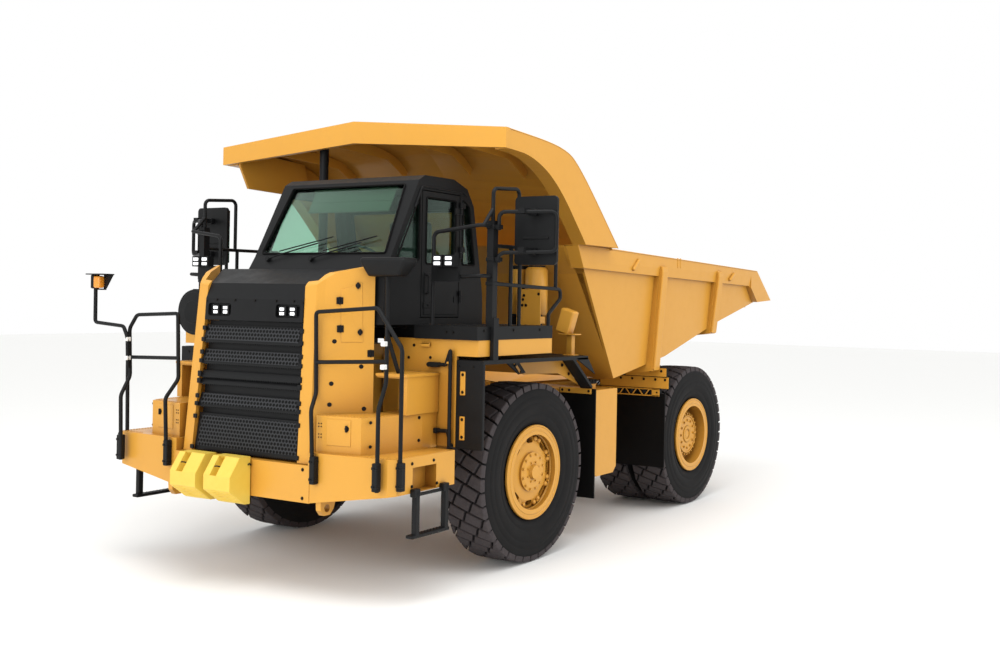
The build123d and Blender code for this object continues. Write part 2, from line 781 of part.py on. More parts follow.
# Fixed panes, one in each opening.
SCREEN_SLAB = [(-3640, 3050), (-3632, 3050), (-3185, 3944), (-3193, 3944)]
REAR_SLAB = [(-2273, 3110), (-2265, 3110), (-2359, 3660), (-2367, 3660)]
screen_pane = side_plate(SCREEN_SLAB, -480, 1180) & front_pane(SCREEN, -3800, -3100)
rear_pane = side_plate(REAR_SLAB, -430, 1130) & front_pane(REAR_WINDOW, -2480, -2150)
with BuildPart() as cab_glass:
    add(screen_pane)
    add(rear_pane)
    add(side_pane(QUARTER_FRONT, CAB_LEFT_X - 34, CAB_LEFT_X - 26))
    add(side_pane(QUARTER_REAR, CAB_LEFT_X - 34, CAB_LEFT_X - 26))
    add(side_pane(RIGHT_WINDOW, CAB_RIGHT_X + 26, CAB_RIGHT_X + 34))
save(cab_glass, "cab_glass")

DOOR_Y = (DOOR_FRONT_Y + DOOR_GAP, DOOR_REAR_Y - DOOR_GAP)
DOOR_Z = (DOOR_LOW_Z + DOOR_GAP, DOOR_TOP_Z - DOOR_GAP)
PANE_Y = (DOOR_Y[0] + 60, DOOR_Y[1] - 60)
PANE_Z = (3080, DOOR_Z[1] - 60)
DOOR_PANE = [(y, z) for y, z in zip(PANE_Y + PANE_Y[::-1], sorted(PANE_Z * 2))]
with BuildPart() as cab_door:
    add(block((CAB_LEFT_X - CAB_SKIN, CAB_LEFT_X), DOOR_Y, DOOR_Z))
    add(side_pane(DOOR_PANE, *LEFT_WALL), mode=Mode.SUBTRACT)
    for knuckle_z in HINGE_Z:
        add(upright_bar(HINGE_X, HINGE_Y, knuckle_z, knuckle_z + 60, HINGE_R))
        add(block((CAB_LEFT_X, CAB_LEFT_X + 12), (HINGE_Y - 90, HINGE_Y - 5), (knuckle_z, knuckle_z + 60)))
save(cab_door, "cab_door")

with BuildPart() as door_glass:
    add(side_pane(DOOR_PANE, CAB_LEFT_X - 34, CAB_LEFT_X - 26))
save(door_glass, "door_glass")

with BuildPart() as cab_interior:
    add(block((150, 950), (-3400, -2500), (DECK_Z + CAB_SKIN, DECK_Z + CAB_SKIN + 60)))
    add(block((330, 830), (-2950, -2550), (DECK_Z + CAB_SKIN, 3000)))
    add(side_pane([(-2650, 2900), (-2560, 3560), (-2470, 3560), (-2520, 2900)], 330, 830, 30))
    add(side_pane([(-3540, 2535), (-3540, 3040), (-3480, 3100), (-3390, 3020), (-3390, 2535)], 200, 950, 30))
    add(tube([(580, -3420, 3000), (580, -3250, 3150)], 30))
save(cab_interior, "cab_interior")

# ============================================================ rails and fittings on the decks

# Mirrors: a tall plate facing back, held by a bent guard loop that grows from the deck's corner post.
POST_Y = -3047
with BuildPart() as mirrors:
    for side in (1, -1):
        with BuildSketch(Plane.XZ.offset(2690)):
            with Locations((side * 2268, 3415)):
                RectangleRounded(491, 669, 45)
        extrude(amount=30)
        add(block(sorted((side * 2120, side * 2400)), (-2692, -2660), (3130, 3700)))
        add(tube([
            (side * 2062, POST_Y + 10, 3090),
            (side * 2062, POST_Y + 10, 3185),
            (side * 2535, -2760, 3205),
            (side * 2535, -2760, 3590),
            (side * 2062, POST_Y + 10, 3575),
            (side * 2062, POST_Y + 10, 3400),
        ]))
        for clamp_z in (3215, 3590):
            add(block(sorted((side * 2225, side * 2295)), (-2960, -2705), (clamp_z - 25, clamp_z + 25)))
        for clamp_z in (3120, 3430):
            add(block(sorted((side * 2036, side * 2088)), (POST_Y - 25, POST_Y + 40), (clamp_z - 20, clamp_z + 20)))
save(mirrors, "mirrors")

with BuildPart() as deck_handrails:
    for side in (1, -1):
        # corner post from the fender up past the deck
        add(block(sorted((side * 2021, side * 2060)), (POST_Y - 40, POST_Y + 40), (2160, 2560)))
        add(block(sorted((side * 1960, side * 2035)), (POST_Y - 38, POST_Y + 37), (2480, 3490)))
        add(tube([
            (side * 1470, -3270, 2480),
            (side * 1470, -3270, 3370),
            (side * 1998, -3230, 3440),
            (side * 1998, -3050, 3440),
        ]))
        add(tube([(side * 1470, -3270, 2930), (side * 1998, -3230, 2960), (side * 1998, -3050, 2960)], bend=40))
        # side rail: mid run that cranks forward and down to its foot, and the top run on its own leg
        add(tube([
            (side * 1998, -3040, 2890),
            (side * 1998, -1840, 2860),
            (side * 1998, -1840, 2760),
            (side * 1998, -2060, 2600),
            (side * 1998, -2060, 2480),
        ], bend=50))
        add(tube([
            (side * 1998, -3040, 3252),
            (side * 1998, -1935, 3262),
            (side * 1998, -1935, 2862),
        ]))
        add(upright_bar(side * 1998, -2740, DECK_Z, 3252, TUBE_R))
        add(upright_bar(side * 1998, -2590, DECK_Z, 3252, TUBE_R))
        # loop over the post that steadies the mirror, with its brace from the front rail
        add(tube([
            (side * 1998, POST_Y, 3480),
            (side * 1998, POST_Y, 3800),
            (side * 1998, -2620, 3835),
            (side * 1998, -2620, 3260),
        ]))
        add(tube([(side * 1998, -3190, 3440), (side * 1998, POST_Y - 5, 3600)]))
        # twin work lamp on a bracket from the front rail
        add(block(sorted((side * 1540, side * 1655)), (-3375, -3300), (3040, 3152)))
        add(block(sorted((side * 1675, side * 1790)), (-3375, -3300), (3040, 3152)))
        add(block(sorted((side * 1470, side * 1790)), (-3300, -3262), (2900, 3050)))
save(deck_handrails, "deck_handrails")

with BuildPart() as air_cleaner:
    with BuildSketch(Plane.XZ.offset(3310)):
        with Locations((-1250, 2550)):
            Circle(230)
    extrude(amount=480)
    add(block((-1330, -1170), (-3700, -3400), (2030, 2400)))
save(air_cleaner, "air_cleaner")

with BuildPart() as exhaust_stack:
    add(upright_bar(-640, -2600, DECK_Z, 4420, 48))
    add(upright_bar(-640, -2600, DECK_Z, DECK_Z + 30, 70))
save(exhaust_stack, "exhaust_stack")

# ============================================================ dump body


def body_section(y, z_edge, z_top):
    """U-shaped cross-section of the tub: sloped sides on a V floor."""
    x_top = BODY_TOP_X - (BODY_TOP_Z - z_top) * BODY_SLOPE
    x_low = BODY_TOP_X - (BODY_TOP_Z - z_edge) * BODY_SLOPE
    outer = [(-x_top, z_top), (-x_low, z_edge), (0, z_edge - FLOOR_DROP), (x_low, z_edge), (x_top, z_top)]
    inner = [
        (x_top - BODY_SKIN, z_top),
        (x_low - BODY_SKIN, z_edge + BODY_SKIN),
        (0, z_edge - FLOOR_DROP + BODY_SKIN),
        (BODY_SKIN - x_low, z_edge + BODY_SKIN),
        (BODY_SKIN - x_top, z_top),
    ]
    with BuildSketch(Plane.XZ.offset(-y)) as section:
        with BuildLine():
            Polyline(outer + inner, close=True)
        make_face()
    return section.sketch


BODY_STATIONS = [
    (-1300, 1614, 3150),
    (1190, 2040, 3100),
    (2740, 2480, 3060),
    (4030, 2780, 3020),
]
RAIL_SIDE = [
    (-1290, 3361),
    (-581, 3361),
    (3931, 3255),
    (4510, 2814),
    (3954, 2782),
    (3669, 3023),
    (-1119, 3112),
]
WALL_OUTER = [(-125, 1815), (-1000, 3050), (-1300, 3361), (-1265, 3361), (-970, 3060), (-95, 1825)]
with BuildPart() as dump_body:
    loft([body_section(*row) for row in BODY_STATIONS], ruled=True)
    ahead_of_wall = [(-1500, 1200), (169, 1400), (-125, 1815), (-1000, 3050), (-1070, 3150), (-1500, 3200)]
    add(side_plate(ahead_of_wall, -1900, 1900), mode=Mode.SUBTRACT)
    # front wall, leaning forward along the leading edges of the sides
    add(side_plate(WALL_OUTER, -1675, 1675))
    for side in (1, -1):
        add(side_plate(RAIL_SIDE, *sorted((side * 1660, side * RAIL_OUTER_X))))
        add(front_plate([(side * 1800, 2700), (side * RAIL_OUTER_X, 3180), (side * 1900, 3180), (side * 1900, 2700)],
                        -1300, 3700), mode=Mode.SUBTRACT)
        # side ribs, each wrapping under the floor as a bolster
        for rib_y, rib_low in ((775, 1960), (2510, 2410)):
            rib = [
                (side * 1700, 3160),
                (side * 1845, 3160),
                (side * 1775, rib_low - 90),
                (0, rib_low - 310),
                (0, rib_low - 180),
                (side * 1690, rib_low + 20),
            ]
            add(front_plate(rib, rib_y - 90, rib_y + 90))
        tail = [(side * 1700, 2790), (side * 1750, 2700), (0, 2480), (0, 2590)]
        add(front_plate(tail, 3640, 3760))
save(dump_body, "dump_body")

# Lengthwise beams under the floor that rest on the frame, with the hinge lugs and the hoist's head plates.
with BuildPart() as body_beams:
    beam = [(-60, 1540), (-60, 1675), (1190, 1885), (2740, 2325), (3020, 2385), (3070, 1700), (2980, 1560), (2700, 1540)]
    for side in (1, -1):
        add(side_plate(beam, *sorted((side * 215, side * 318))))
        add(cross_bar(*sorted((side * 180, side * 330)), PIVOT_Y, PIVOT_Z, PIVOT_PIN_R + RUN_CLEAR),
            mode=Mode.SUBTRACT)
        head = [(1300, 1950), (HOIST_HEAD_Y - 70, 1640), (HOIST_HEAD_Y + 70, 1640), (1650, 2045)]
        add(side_plate(head, *sorted((side * (HOIST_X - 100), side * (HOIST_X - 70)))))
        add(side_plate(head, *sorted((side * (HOIST_X + 70), side * (HOIST_X + 100)))))
    add(dump_body.part, mode=Mode.SUBTRACT)
save(body_beams, "body_beams")

CANOPY_TOP = [(-2830, 4420), (-1766, 4373), (-1415, 4171), (-581, 3359)]
CANOPY_TOP_MID = [(-2800, 4594), (-1766, 4540), (-1400, 4330), (-581, 3359)]
BEAM_SIDE = CANOPY_TOP + [
    (-1300, 3361),
    (-1314, 3380),
    (-1889, 3988),
    (-2378, 4208),
    (-2800, 4220),
]


def canopy_strip(x, line, depth):
    with BuildSketch(Plane.YZ.offset(x)) as strip:
        with BuildLine():
            Polyline(line + [(y, z - depth) for y, z in reversed(line)], close=True)
        make_face()
    return strip.sketch


with BuildPart() as canopy:
    for side in (1, -1):
        loft(
            [
                canopy_strip(0, CANOPY_TOP_MID, 25),
                canopy_strip(side * 1900, CANOPY_TOP, 25),
            ],
            ruled=True,
        )
        lip_mid = [(-2830, 4594), (-2770, 4594)]
        lip_end = [(-2830, 4420), (-2770, 4420)]
        loft(
            [
                canopy_strip(0, lip_mid, 227),
                canopy_strip(side * CANOPY_X, lip_end, 200),
            ],
            ruled=True,
        )
        add(side_plate(BEAM_SIDE, *sorted((side * 1800, side * CANOPY_X))))
        # inner face of the beam, deeper at the front, and the ribs under the sheet
        inner_face = [(-2830, 4400), (-2970, 4219), (-2780, 3969), (-1950, 3945), (-1760, 4100), (-1760, 4360)]
        add(side_plate(inner_face, *sorted((side * 1720, side * 1750))))
        for rib_x, rib_top in ((480, 4525), (1250, 4450)):
            rib = [(-2790, rib_top), (-1766, rib_top - 50), (-1400, rib_top - 250), (-1450, rib_top - 360),
                   (-1780, rib_top - 170), (-2790, rib_top - 130)]
            add(side_plate(rib, *sorted((side * (rib_x - 10), side * (rib_x + 10)))))
    add(block((-2000, 2000), (-1500, -400), (3200, 3361.5)), mode=Mode.SUBTRACT)
save(canopy, "canopy")

# Rubber flaps ahead of the rear tyres, on a pierced bracket under two beams bolted below the body.
with BuildPart() as rear_flaps:
    for side in (1, -1):
        add(block(sorted((side * 1110, side * 1864)), (890, 910), (620, 1570)))
        add(block(sorted((side * 757, side * 1797)), (870, 930), (1532, 1634)))
        for row in range(8):
            top_x = side * (1000 + 95 * row)
            foot = 1552 if row % 2 else 1614
            tip = 1614 if row % 2 else 1552
            opening = [(top_x - 38, foot), (top_x + 38, foot), (top_x, tip)]
            add(front_plate(opening, 860, 940), mode=Mode.SUBTRACT)
        add(block(sorted((side * 900, side * 1924)), (880, 920), (1632, 1786)))
        add(block(sorted((side * 1288, side * 1897)), (865, 905), (1786, 1904)))
        add(block(sorted((side * 900, side * 1000)), (865, 905), (1786, 1915)))
    add(dump_body.part, mode=Mode.SUBTRACT)
save(rear_flaps, "rear_flaps")

# ============================================================ hoist cylinders

HOIST_DY = HOIST_HEAD_Y - HOIST_FOOT_Y
HOIST_DZ = HOIST_HEAD_Z - HOIST_FOOT_Z
HOIST_LEN = math.hypot(HOIST_DY, HOIST_DZ)
ALONG = Vector(0, HOIST_DY / HOIST_LEN, HOIST_DZ / HOIST_LEN)


def on_hoist(side, distance):
    return Vector(side * HOIST_X, HOIST_FOOT_Y, HOIST_FOOT_Z) + ALONG * distance


with BuildPart() as hoist_barrels:
    for side in (1, -1):
        with BuildSketch(Plane(origin=on_hoist(side, 60), z_dir=ALONG)):
            Circle(HOIST_BARREL_R)
        extrude(amount=1330)
        add(cross_bar(*sorted((side * (HOIST_X - 50), side * (HOIST_X + 50))),
                      HOIST_FOOT_Y, HOIST_FOOT_Z, 80))
        with BuildSketch(Plane(origin=on_hoist(side, 110), z_dir=ALONG)):
            Circle(HOIST_ROD_R + RUN_CLEAR)
        extrude(amount=1400, mode=Mode.SUBTRACT)
        add(cross_bar(*sorted((side * (HOIST_X - 60), side * (HOIST_X + 60))),
                      HOIST_FOOT_Y, HOIST_FOOT_Z, HOIST_PIN_R + RUN_CLEAR), mode=Mode.SUBTRACT)
save(hoist_barrels, "hoist_barrels")

with BuildPart() as hoist_rods:
    for side in (1, -1):
        with BuildSketch(Plane(origin=on_hoist(side, 150), z_dir=ALONG)):
            Circle(HOIST_ROD_R)
        extrude(amount=HOIST_LEN - 150 - 40)
        add(cross_bar(*sorted((side * (HOIST_X - 55), side * (HOIST_X + 55))),
                      HOIST_HEAD_Y, HOIST_HEAD_Z, 70))
save(hoist_rods, "hoist_rods")
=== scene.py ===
import math

import bmesh
import bpy
from mathutils import Matrix, Vector


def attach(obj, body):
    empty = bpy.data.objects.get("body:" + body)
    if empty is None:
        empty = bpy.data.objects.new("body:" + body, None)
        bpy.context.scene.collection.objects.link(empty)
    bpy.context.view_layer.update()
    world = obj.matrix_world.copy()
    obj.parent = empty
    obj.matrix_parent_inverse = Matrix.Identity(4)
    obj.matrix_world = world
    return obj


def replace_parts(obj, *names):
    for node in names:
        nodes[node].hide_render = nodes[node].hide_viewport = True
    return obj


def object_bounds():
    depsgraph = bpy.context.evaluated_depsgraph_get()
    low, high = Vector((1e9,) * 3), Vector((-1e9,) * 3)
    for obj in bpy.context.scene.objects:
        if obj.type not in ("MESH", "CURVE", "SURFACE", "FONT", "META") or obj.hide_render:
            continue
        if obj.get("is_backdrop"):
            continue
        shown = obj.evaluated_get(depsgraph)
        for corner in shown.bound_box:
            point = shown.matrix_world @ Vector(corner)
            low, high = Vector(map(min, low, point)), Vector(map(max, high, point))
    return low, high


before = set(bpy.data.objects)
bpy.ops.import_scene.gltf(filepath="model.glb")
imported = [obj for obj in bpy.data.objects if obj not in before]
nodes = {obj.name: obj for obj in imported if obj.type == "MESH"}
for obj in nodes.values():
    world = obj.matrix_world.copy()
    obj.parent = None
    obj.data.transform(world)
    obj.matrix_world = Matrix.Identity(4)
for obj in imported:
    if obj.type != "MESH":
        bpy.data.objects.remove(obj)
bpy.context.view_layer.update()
scene = bpy.context.scene
SIDES = (1, -1)  # the truck's left is +X
FULL_TURN = 2 * math.pi

# ---------------------------------------------------------------- viewpoint
# A lens of moderate length, from ahead and to the truck's left, at about cab height.
EYE_PLACE = (8.154, -11.417, 2.725)
EYE_HEADING, EYE_DIP, EYE_ROLL = 27.969, 0.07, 1.0794  # degrees
eye = bpy.data.cameras.new("studio_camera")
eye.lens = 38.73
eye.sensor_width = 36.0
eye.shift_x, eye.shift_y = -0.1497, -0.0284
camera = bpy.data.objects.new("studio_camera", eye)
scene.collection.objects.link(camera)
heading = Matrix.Rotation(math.radians(EYE_HEADING), 4, "Z")
tilt = Matrix.Rotation(math.radians(90.0 - EYE_DIP), 4, "X")
roll = Matrix.Rotation(math.radians(EYE_ROLL), 4, "Z")
camera.matrix_world = Matrix.Translation(EYE_PLACE) @ heading @ tilt @ roll
scene.camera = camera


# ---------------------------------------------------------------- studio
# Seamless white floor under a bright even sky, with one large overhead softbox and two fills.
def linear(hex_colour):
    """sRGB hex colour as the linear RGBA that the shaders take."""
    channels = [int(hex_colour[i : i + 2], 16) / 255 for i in (1, 3, 5)]
    return tuple(c / 12.92 if c <= 0.04045 else ((c + 0.055) / 1.055) ** 2.4 for c in channels) + (1.0,)


def add_node(tree, kind, inputs=(), **settings):
    """One node with its settings, and its inputs set to values or linked from sockets."""
    made = tree.nodes.new(kind)
    for name, value in settings.items():
        setattr(made, name, value)
    for name, value in dict(inputs).items():
        if isinstance(value, bpy.types.NodeSocket):
            tree.links.new(value, made.inputs[name])
        else:
            made.inputs[name].default_value = value
    return made


def new_finish(name, roughness, **more):
    """Material with a Principled shader wired to its output, and its object coordinates."""
    finish = bpy.data.materials.new(name)
    finish.use_nodes = True
    tree = finish.node_tree
    tree.nodes.clear()
    inputs = {"Roughness": roughness}
    inputs.update({key.replace("_", " "): value for key, value in more.items()})
    shader = add_node(tree, "ShaderNodeBsdfPrincipled", inputs)
    add_node(tree, "ShaderNodeOutputMaterial", {"Surface": shader.outputs["BSDF"]})
    place = add_node(tree, "ShaderNodeTexCoord").outputs["Object"]
    return finish, tree, shader, place


def noise(tree, place, scale, detail=4.0, roughness=0.6):
    inputs = {"Vector": place, "Scale": scale, "Detail": detail, "Roughness": roughness}
    return add_node(tree, "ShaderNodeTexNoise", inputs).outputs["Fac"]


def blend(tree, factor, first, second):
    """Colour between two others, each a socket or an sRGB hex colour."""
    first, second = (linear(c) if isinstance(c, str) else c for c in (first, second))
    inputs = {"Factor": factor, "A": first, "B": second}
    return add_node(tree, "ShaderNodeMix", inputs, data_type="RGBA").outputs["Result"]


def remap(tree, value, low, high, to_low, to_high):
    inputs = {"Value": value, "From Min": low, "From Max": high, "To Min": to_low, "To Max": to_high}
    return add_node(tree, "ShaderNodeMapRange", inputs).outputs["Result"]


def relief(tree, shader, height, strength, distance):
    bump = add_node(tree, "ShaderNodeBump", {"Height": height, "Strength": strength, "Distance": distance})
    tree.links.new(bump.outputs["Normal"], shader.inputs["Normal"])


world = bpy.data.worlds.new("studio_sky")
world.use_nodes = True
world.node_tree.nodes["Background"].inputs["Color"].default_value = (1.0, 1.0, 1.0, 1.0)
world.node_tree.nodes["Background"].inputs["Strength"].default_value = 1.0
scene.world = world
scene.view_settings.view_transform = "Standard"

floor_finish = new_finish("studio_floor_paint", 0.85, Base_Color=linear("#F8F8F6"))[0]
bm = bmesh.new()
bmesh.ops.create_grid(bm, x_segments=1, y_segments=1, size=60.0)
floor_mesh = bpy.data.meshes.new("studio_floor")
bm.to_mesh(floor_mesh)
bm.free()
floor_mesh.materials.append(floor_finish)
studio_floor = bpy.data.objects.new("studio_floor", floor_mesh)
scene.collection.objects.link(studio_floor)
studio_floor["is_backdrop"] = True

for name, where, aim, width, power in (
    ("overhead_softbox", (3.0, -5.0, 12.0), (0.0, -1.0, 1.5), 8.0, 700.0),
    ("left_softbox", (13.0, 1.0, 7.5), (0.0, 0.0, 2.6), 6.0, 220.0),
    ("front_softbox", (1.0, -15.0, 5.0), (0.0, -2.0, 2.2), 6.0, 420.0),
):
    lamp = bpy.data.lights.new(name, "AREA")
    lamp.size = width
    lamp.energy = power
    box = bpy.data.objects.new(name, lamp)
    scene.collection.objects.link(box)
    aimed = (Vector(aim) - Vector(where)).to_track_quat("-Z", "Y").to_matrix().to_4x4()
    box.matrix_world = Matrix.Translation(where) @ aimed

# ---------------------------------------------------------------- finishes
# Machine enamel: two-pack gloss sprayed over primer, a warm yellow with faint orange peel and a
# thin film of dust, with painted shade that browns it in creases and on the faces that look down.
machine_enamel, tree, shader, place = new_finish(
    "machine_enamel_yellow", 0.5, Specular_IOR_Level=0.3, Coat_Weight=0.08, Coat_Roughness=0.15
)
dust = noise(tree, place, 7.0, 6.0, 0.7)
shade = blend(tree, noise(tree, place, 0.7, 3.0), "#CF9434", "#D69C3E")
dusty = blend(tree, remap(tree, dust, 0.5, 0.85, 0.0, 0.18), shade, "#B98B48")
# painted shade: ambient occlusion darkens the enamel to brown in creases and between parts
crease_shade = add_node(tree, "ShaderNodeAmbientOcclusion", {"Distance": 0.45}, samples=6)
dusty_with_crease_shade = blend(tree, remap(tree, crease_shade.outputs["AO"], 0.12, 0.8, 0.85, 0.0), dusty, "#7A4A12")
# painted shade: faces that look down are darkened towards brown by their normal
normal = add_node(tree, "ShaderNodeNewGeometry").outputs["Normal"]
aspect = add_node(tree, "ShaderNodeSeparateXYZ", {"Vector": normal})
underside_shade = remap(tree, aspect.outputs["Z"], -0.15, -0.75, 0.0, 0.55)
tree.links.new(blend(tree, underside_shade, dusty_with_crease_shade, "#6B4514"), shader.inputs["Base Color"])
tree.links.new(remap(tree, dust, 0.3, 0.8, 0.3, 0.46), shader.inputs["Roughness"])
relief(tree, shader, noise(tree, place, 90.0, 2.0), 0.05, 0.002)

# Chassis black: satin powder coat, finely pebbled, greying where dust lies.
chassis_black, tree, shader, place = new_finish("satin_black_powder_coat", 0.5, Specular_IOR_Level=0.16)
dust = noise(tree, place, 6.0, 6.0)
tree.links.new(blend(tree, dust, "#0E0E0F", "#191A1B"), shader.inputs["Base Color"])
tree.links.new(remap(tree, dust, 0.3, 0.8, 0.38, 0.55), shader.inputs["Roughness"])
relief(tree, shader, noise(tree, place, 260.0, 1.0), 0.12, 0.001)


def mottled(name, roughness, grain, tones, strength=0.0, depth=0.001, fine=None, **more):
    """Finish that drifts between two tones, in shallow relief by the same grain or a finer one."""
    finish, tree, shader, place = new_finish(name, roughness, **more)
    drift = noise(tree, place, *grain)
    tree.links.new(blend(tree, drift, *tones), shader.inputs["Base Color"])
    if strength:
        relief(tree, shader, noise(tree, place, *fine) if fine else drift, strength, depth)
    return finish


# Fasteners: dark, slightly oily steel. Tyre compound: carbon-black rubber, matt, dusty.
fastener_steel = mottled(
    "blackened_fastener_steel", 0.42, (40.0, 4.0), ("#0B0A09", "#1B1815"), 0.1,
    Metallic=0.3, Specular_IOR_Level=0.25,
)
tyre_rubber = mottled(
    "moulded_tyre_rubber", 0.72, (5.0, 7.0, 0.7), ("#121213", "#201F1F"), 0.2, 0.002, (120.0, 3.0),
    Specular_IOR_Level=0.14,
)
# Worn tread faces, the same rubber scrubbed grey by the ground; smooth nearly black rubber sheet.
tread_rubber = mottled(
    "scrubbed_tread_rubber", 0.85, (28.0, 6.0, 0.75), ("#332F30", "#544E4F"), 0.35, 0.003,
    Specular_IOR_Level=0.12,
)
flap_rubber = mottled(
    "calendered_rubber_sheet", 0.6, (4.0, 6.0), ("#070707", "#100F0F"), 0.15, 0.001, (150.0, 2.0),
    Specular_IOR_Level=0.1,
)
# Rotationally moulded polyethylene, lemon yellow and slightly waxy; white nylon of the rail clips.
chock_plastic = mottled("rotomoulded_polyethylene_lemon", 0.42, (14.0,), ("#DDBB44", "#E6C654"), 0.1, 0.002)
clip_nylon = mottled("moulded_white_nylon", 0.45, (50.0,), ("#DADAD6", "#F4F4F0"))

# Tinted laminated glass: lets mint-green light through, with a mirror sheen at grazing angles.
cab_glazing, tree, shader, place = new_finish("tinted_laminated_glass", 0.03, Metallic=1.0)
clear = add_node(tree, "ShaderNodeBsdfTransparent", {"Color": linear("#DDEFE6")})
sheen = add_node(tree, "ShaderNodeFresnel", {"IOR": 1.22})
layers = {0: sheen.outputs["Fac"], 1: clear.outputs["BSDF"], 2: shader.outputs["BSDF"]}
laminate = add_node(tree, "ShaderNodeMixShader", layers)
tree.links.new(laminate.outputs["Shader"], tree.nodes["Material Output"].inputs["Surface"])

# Hard-chromed rod, ground bright; silvered mirror glass.
rod_chrome, tree, shader, place = new_finish(
    "hard_chromed_steel", 0.5, Metallic=1.0, Base_Color=linear("#C6C8CC")
)
tree.links.new(remap(tree, noise(tree, place, 40.0), 0.3, 0.8, 0.14, 0.3), shader.inputs["Roughness"])
mirror_glass, tree, shader, place = new_finish(
    "silvered_mirror_glass", 0.04, Metallic=1.0, Base_Color=linear("#D5DADC")
)
relief(tree, shader, noise(tree, place, 4.0), 0.02, 0.001)

# Embossed vinyl of the seat and console.
seat_vinyl, tree, shader, place = new_finish("embossed_vinyl_trim", 0.6)
grain = add_node(tree, "ShaderNodeTexVoronoi", {"Vector": place, "Scale": 220.0}).outputs["Distance"]
tree.links.new(blend(tree, grain, "#26282A", "#3A3C3D"), shader.inputs["Base Color"])
relief(tree, shader, grain, 0.3, 0.001)


def ribbed(name, roughness, scale, direction, tones, strength, **more):
    """Finish with fine parallel ribs, in two tones and in relief."""
    finish, tree, shader, place = new_finish(name, roughness, **more)
    wave = {"Vector": place, "Scale": scale}
    ribs = add_node(tree, "ShaderNodeTexWave", wave, bands_direction=direction).outputs["Fac"]
    tree.links.new(blend(tree, ribs, *tones), shader.inputs["Base Color"])
    relief(tree, shader, ribs, strength, 0.001)
    return finish


# Woven sunblind cloth, grey-green; reflector behind a prismatic lens; amber polycarbonate.
blind_fabric = ribbed("woven_sunblind_cloth", 0.9, 120.0, "Z", ("#4C554C", "#626B60"), 0.2)
lamp_lens = ribbed(
    "prismatic_lamp_lens", 0.12, 60.0, "X", ("#D8DCDE", "#FFFFFF"), 0.3,
    Emission_Color=(1.0, 1.0, 1.0, 1.0), Emission_Strength=0.55,
)
amber_lens = ribbed("amber_polycarbonate_lens", 0.15, 45.0, "Z", ("#D9730F", "#FFB340"), 0.4)

# Perforated black sheet: round holes in staggered rows, seen square to the louvre, painted near-black as
# painted shade for the darkness seen through them.
HOLE_PITCH, HOLE_ROW = 0.042, 0.036
perforated_black, tree, shader, place = new_finish(
    "hexagonally_perforated_sheet", 0.5, Specular_IOR_Level=0.12
)


def worked(operation, *values):
    """Result of one arithmetic step on sockets or numbers."""
    return add_node(tree, "ShaderNodeMath", dict(enumerate(values)), operation=operation).outputs[0]


spread = add_node(tree, "ShaderNodeMapping", {"Vector": place, "Scale": (1 / HOLE_PITCH, 0.0, 1 / HOLE_ROW)})
axes = add_node(tree, "ShaderNodeSeparateXYZ", {"Vector": spread.outputs["Vector"]})
odd = worked("FLOORED_MODULO", worked("FLOOR", axes.outputs["Z"]), 2.0)
cell_x = worked("FRACT", worked("MULTIPLY_ADD", odd, 0.5, axes.outputs["X"]))
cell = add_node(tree, "ShaderNodeCombineXYZ", {"X": cell_x, "Y": worked("FRACT", axes.outputs["Z"])})
span = {0: cell.outputs["Vector"], 1: (0.5, 0.5, 0.0)}
from_middle = add_node(tree, "ShaderNodeVectorMath", span, operation="DISTANCE")
web = remap(tree, from_middle.outputs["Value"], 0.36, 0.42, 0.0, 1.0)
# painted shade: the holes take a near-black colour for the shadow behind the sheet
tree.links.new(blend(tree, web, "#020202", "#343537"), shader.inputs["Base Color"])
relief(tree, shader, web, 0.6, 0.004)


# ---------------------------------------------------------------- shared making
def finish_nodes(finish, *names):
    for name in names:
        nodes[name].data.materials.clear()
        nodes[name].data.materials.append(finish)


def piece(name, bm, finish, body="chassis", smooth=False):
    """Object from a bmesh, with its finish, riding on a body."""
    bmesh.ops.recalc_face_normals(bm, faces=bm.faces)
    mesh = bpy.data.meshes.new(name)
    bm.to_mesh(mesh)
    bm.free()
    mesh.materials.append(finish)
    if smooth:
        mesh.shade_smooth()
    made = bpy.data.objects.new(name, mesh)
    scene.collection.objects.link(made)
    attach(made, body)
    return made


def rod(name, runs, radius, finish, body="chassis"):
    """Bent round bar or tube through each run of points, with softly bent corners."""
    line = bpy.data.curves.new(name, "CURVE")
    line.dimensions = "3D"
    line.bevel_depth = radius
    line.bevel_resolution = 4
    line.use_fill_caps = True
    line.resolution_u = 6
    for points in runs:
        spline = line.splines.new("NURBS")
        spline.points.add(len(points) - 1)
        for target, point in zip(spline.points, points):
            target.co = (*point, 1.0)
        spline.order_u = 3
        spline.use_endpoint_u = True
    line.materials.append(finish)
    made = bpy.data.objects.new(name, line)
    scene.collection.objects.link(made)
    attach(made, body)
    return made


def add_at(bm, place, make, *details):
    """Makes geometry in a small mesh of its own, and moves it to a place."""
    small = bmesh.new()
    make(small, *details)
    bmesh.ops.transform(small, matrix=place, verts=small.verts)
    held = bpy.data.meshes.new("held")
    small.to_mesh(held)
    small.free()
    bm.from_mesh(held)
    bpy.data.meshes.remove(held)


def at(spot, direction=None):
    """Place at a spot, with +Z turned to a direction where one is given."""
    place = Matrix.Translation(spot)
    if direction:
        place = place @ Vector(direction).to_track_quat("Z", "Y").to_matrix().to_4x4()
    return place


def turn(degrees, axis):
    return Matrix.Rotation(math.radians(degrees), 4, axis)


def soften(bm, edges, offset, segments=1, **settings):
    """Rounds edges off."""
    bmesh.ops.bevel(
        bm, geom=list(edges), offset=offset, segments=segments, profile=0.5, affect="EDGES", material=-1,
        **settings,
    )


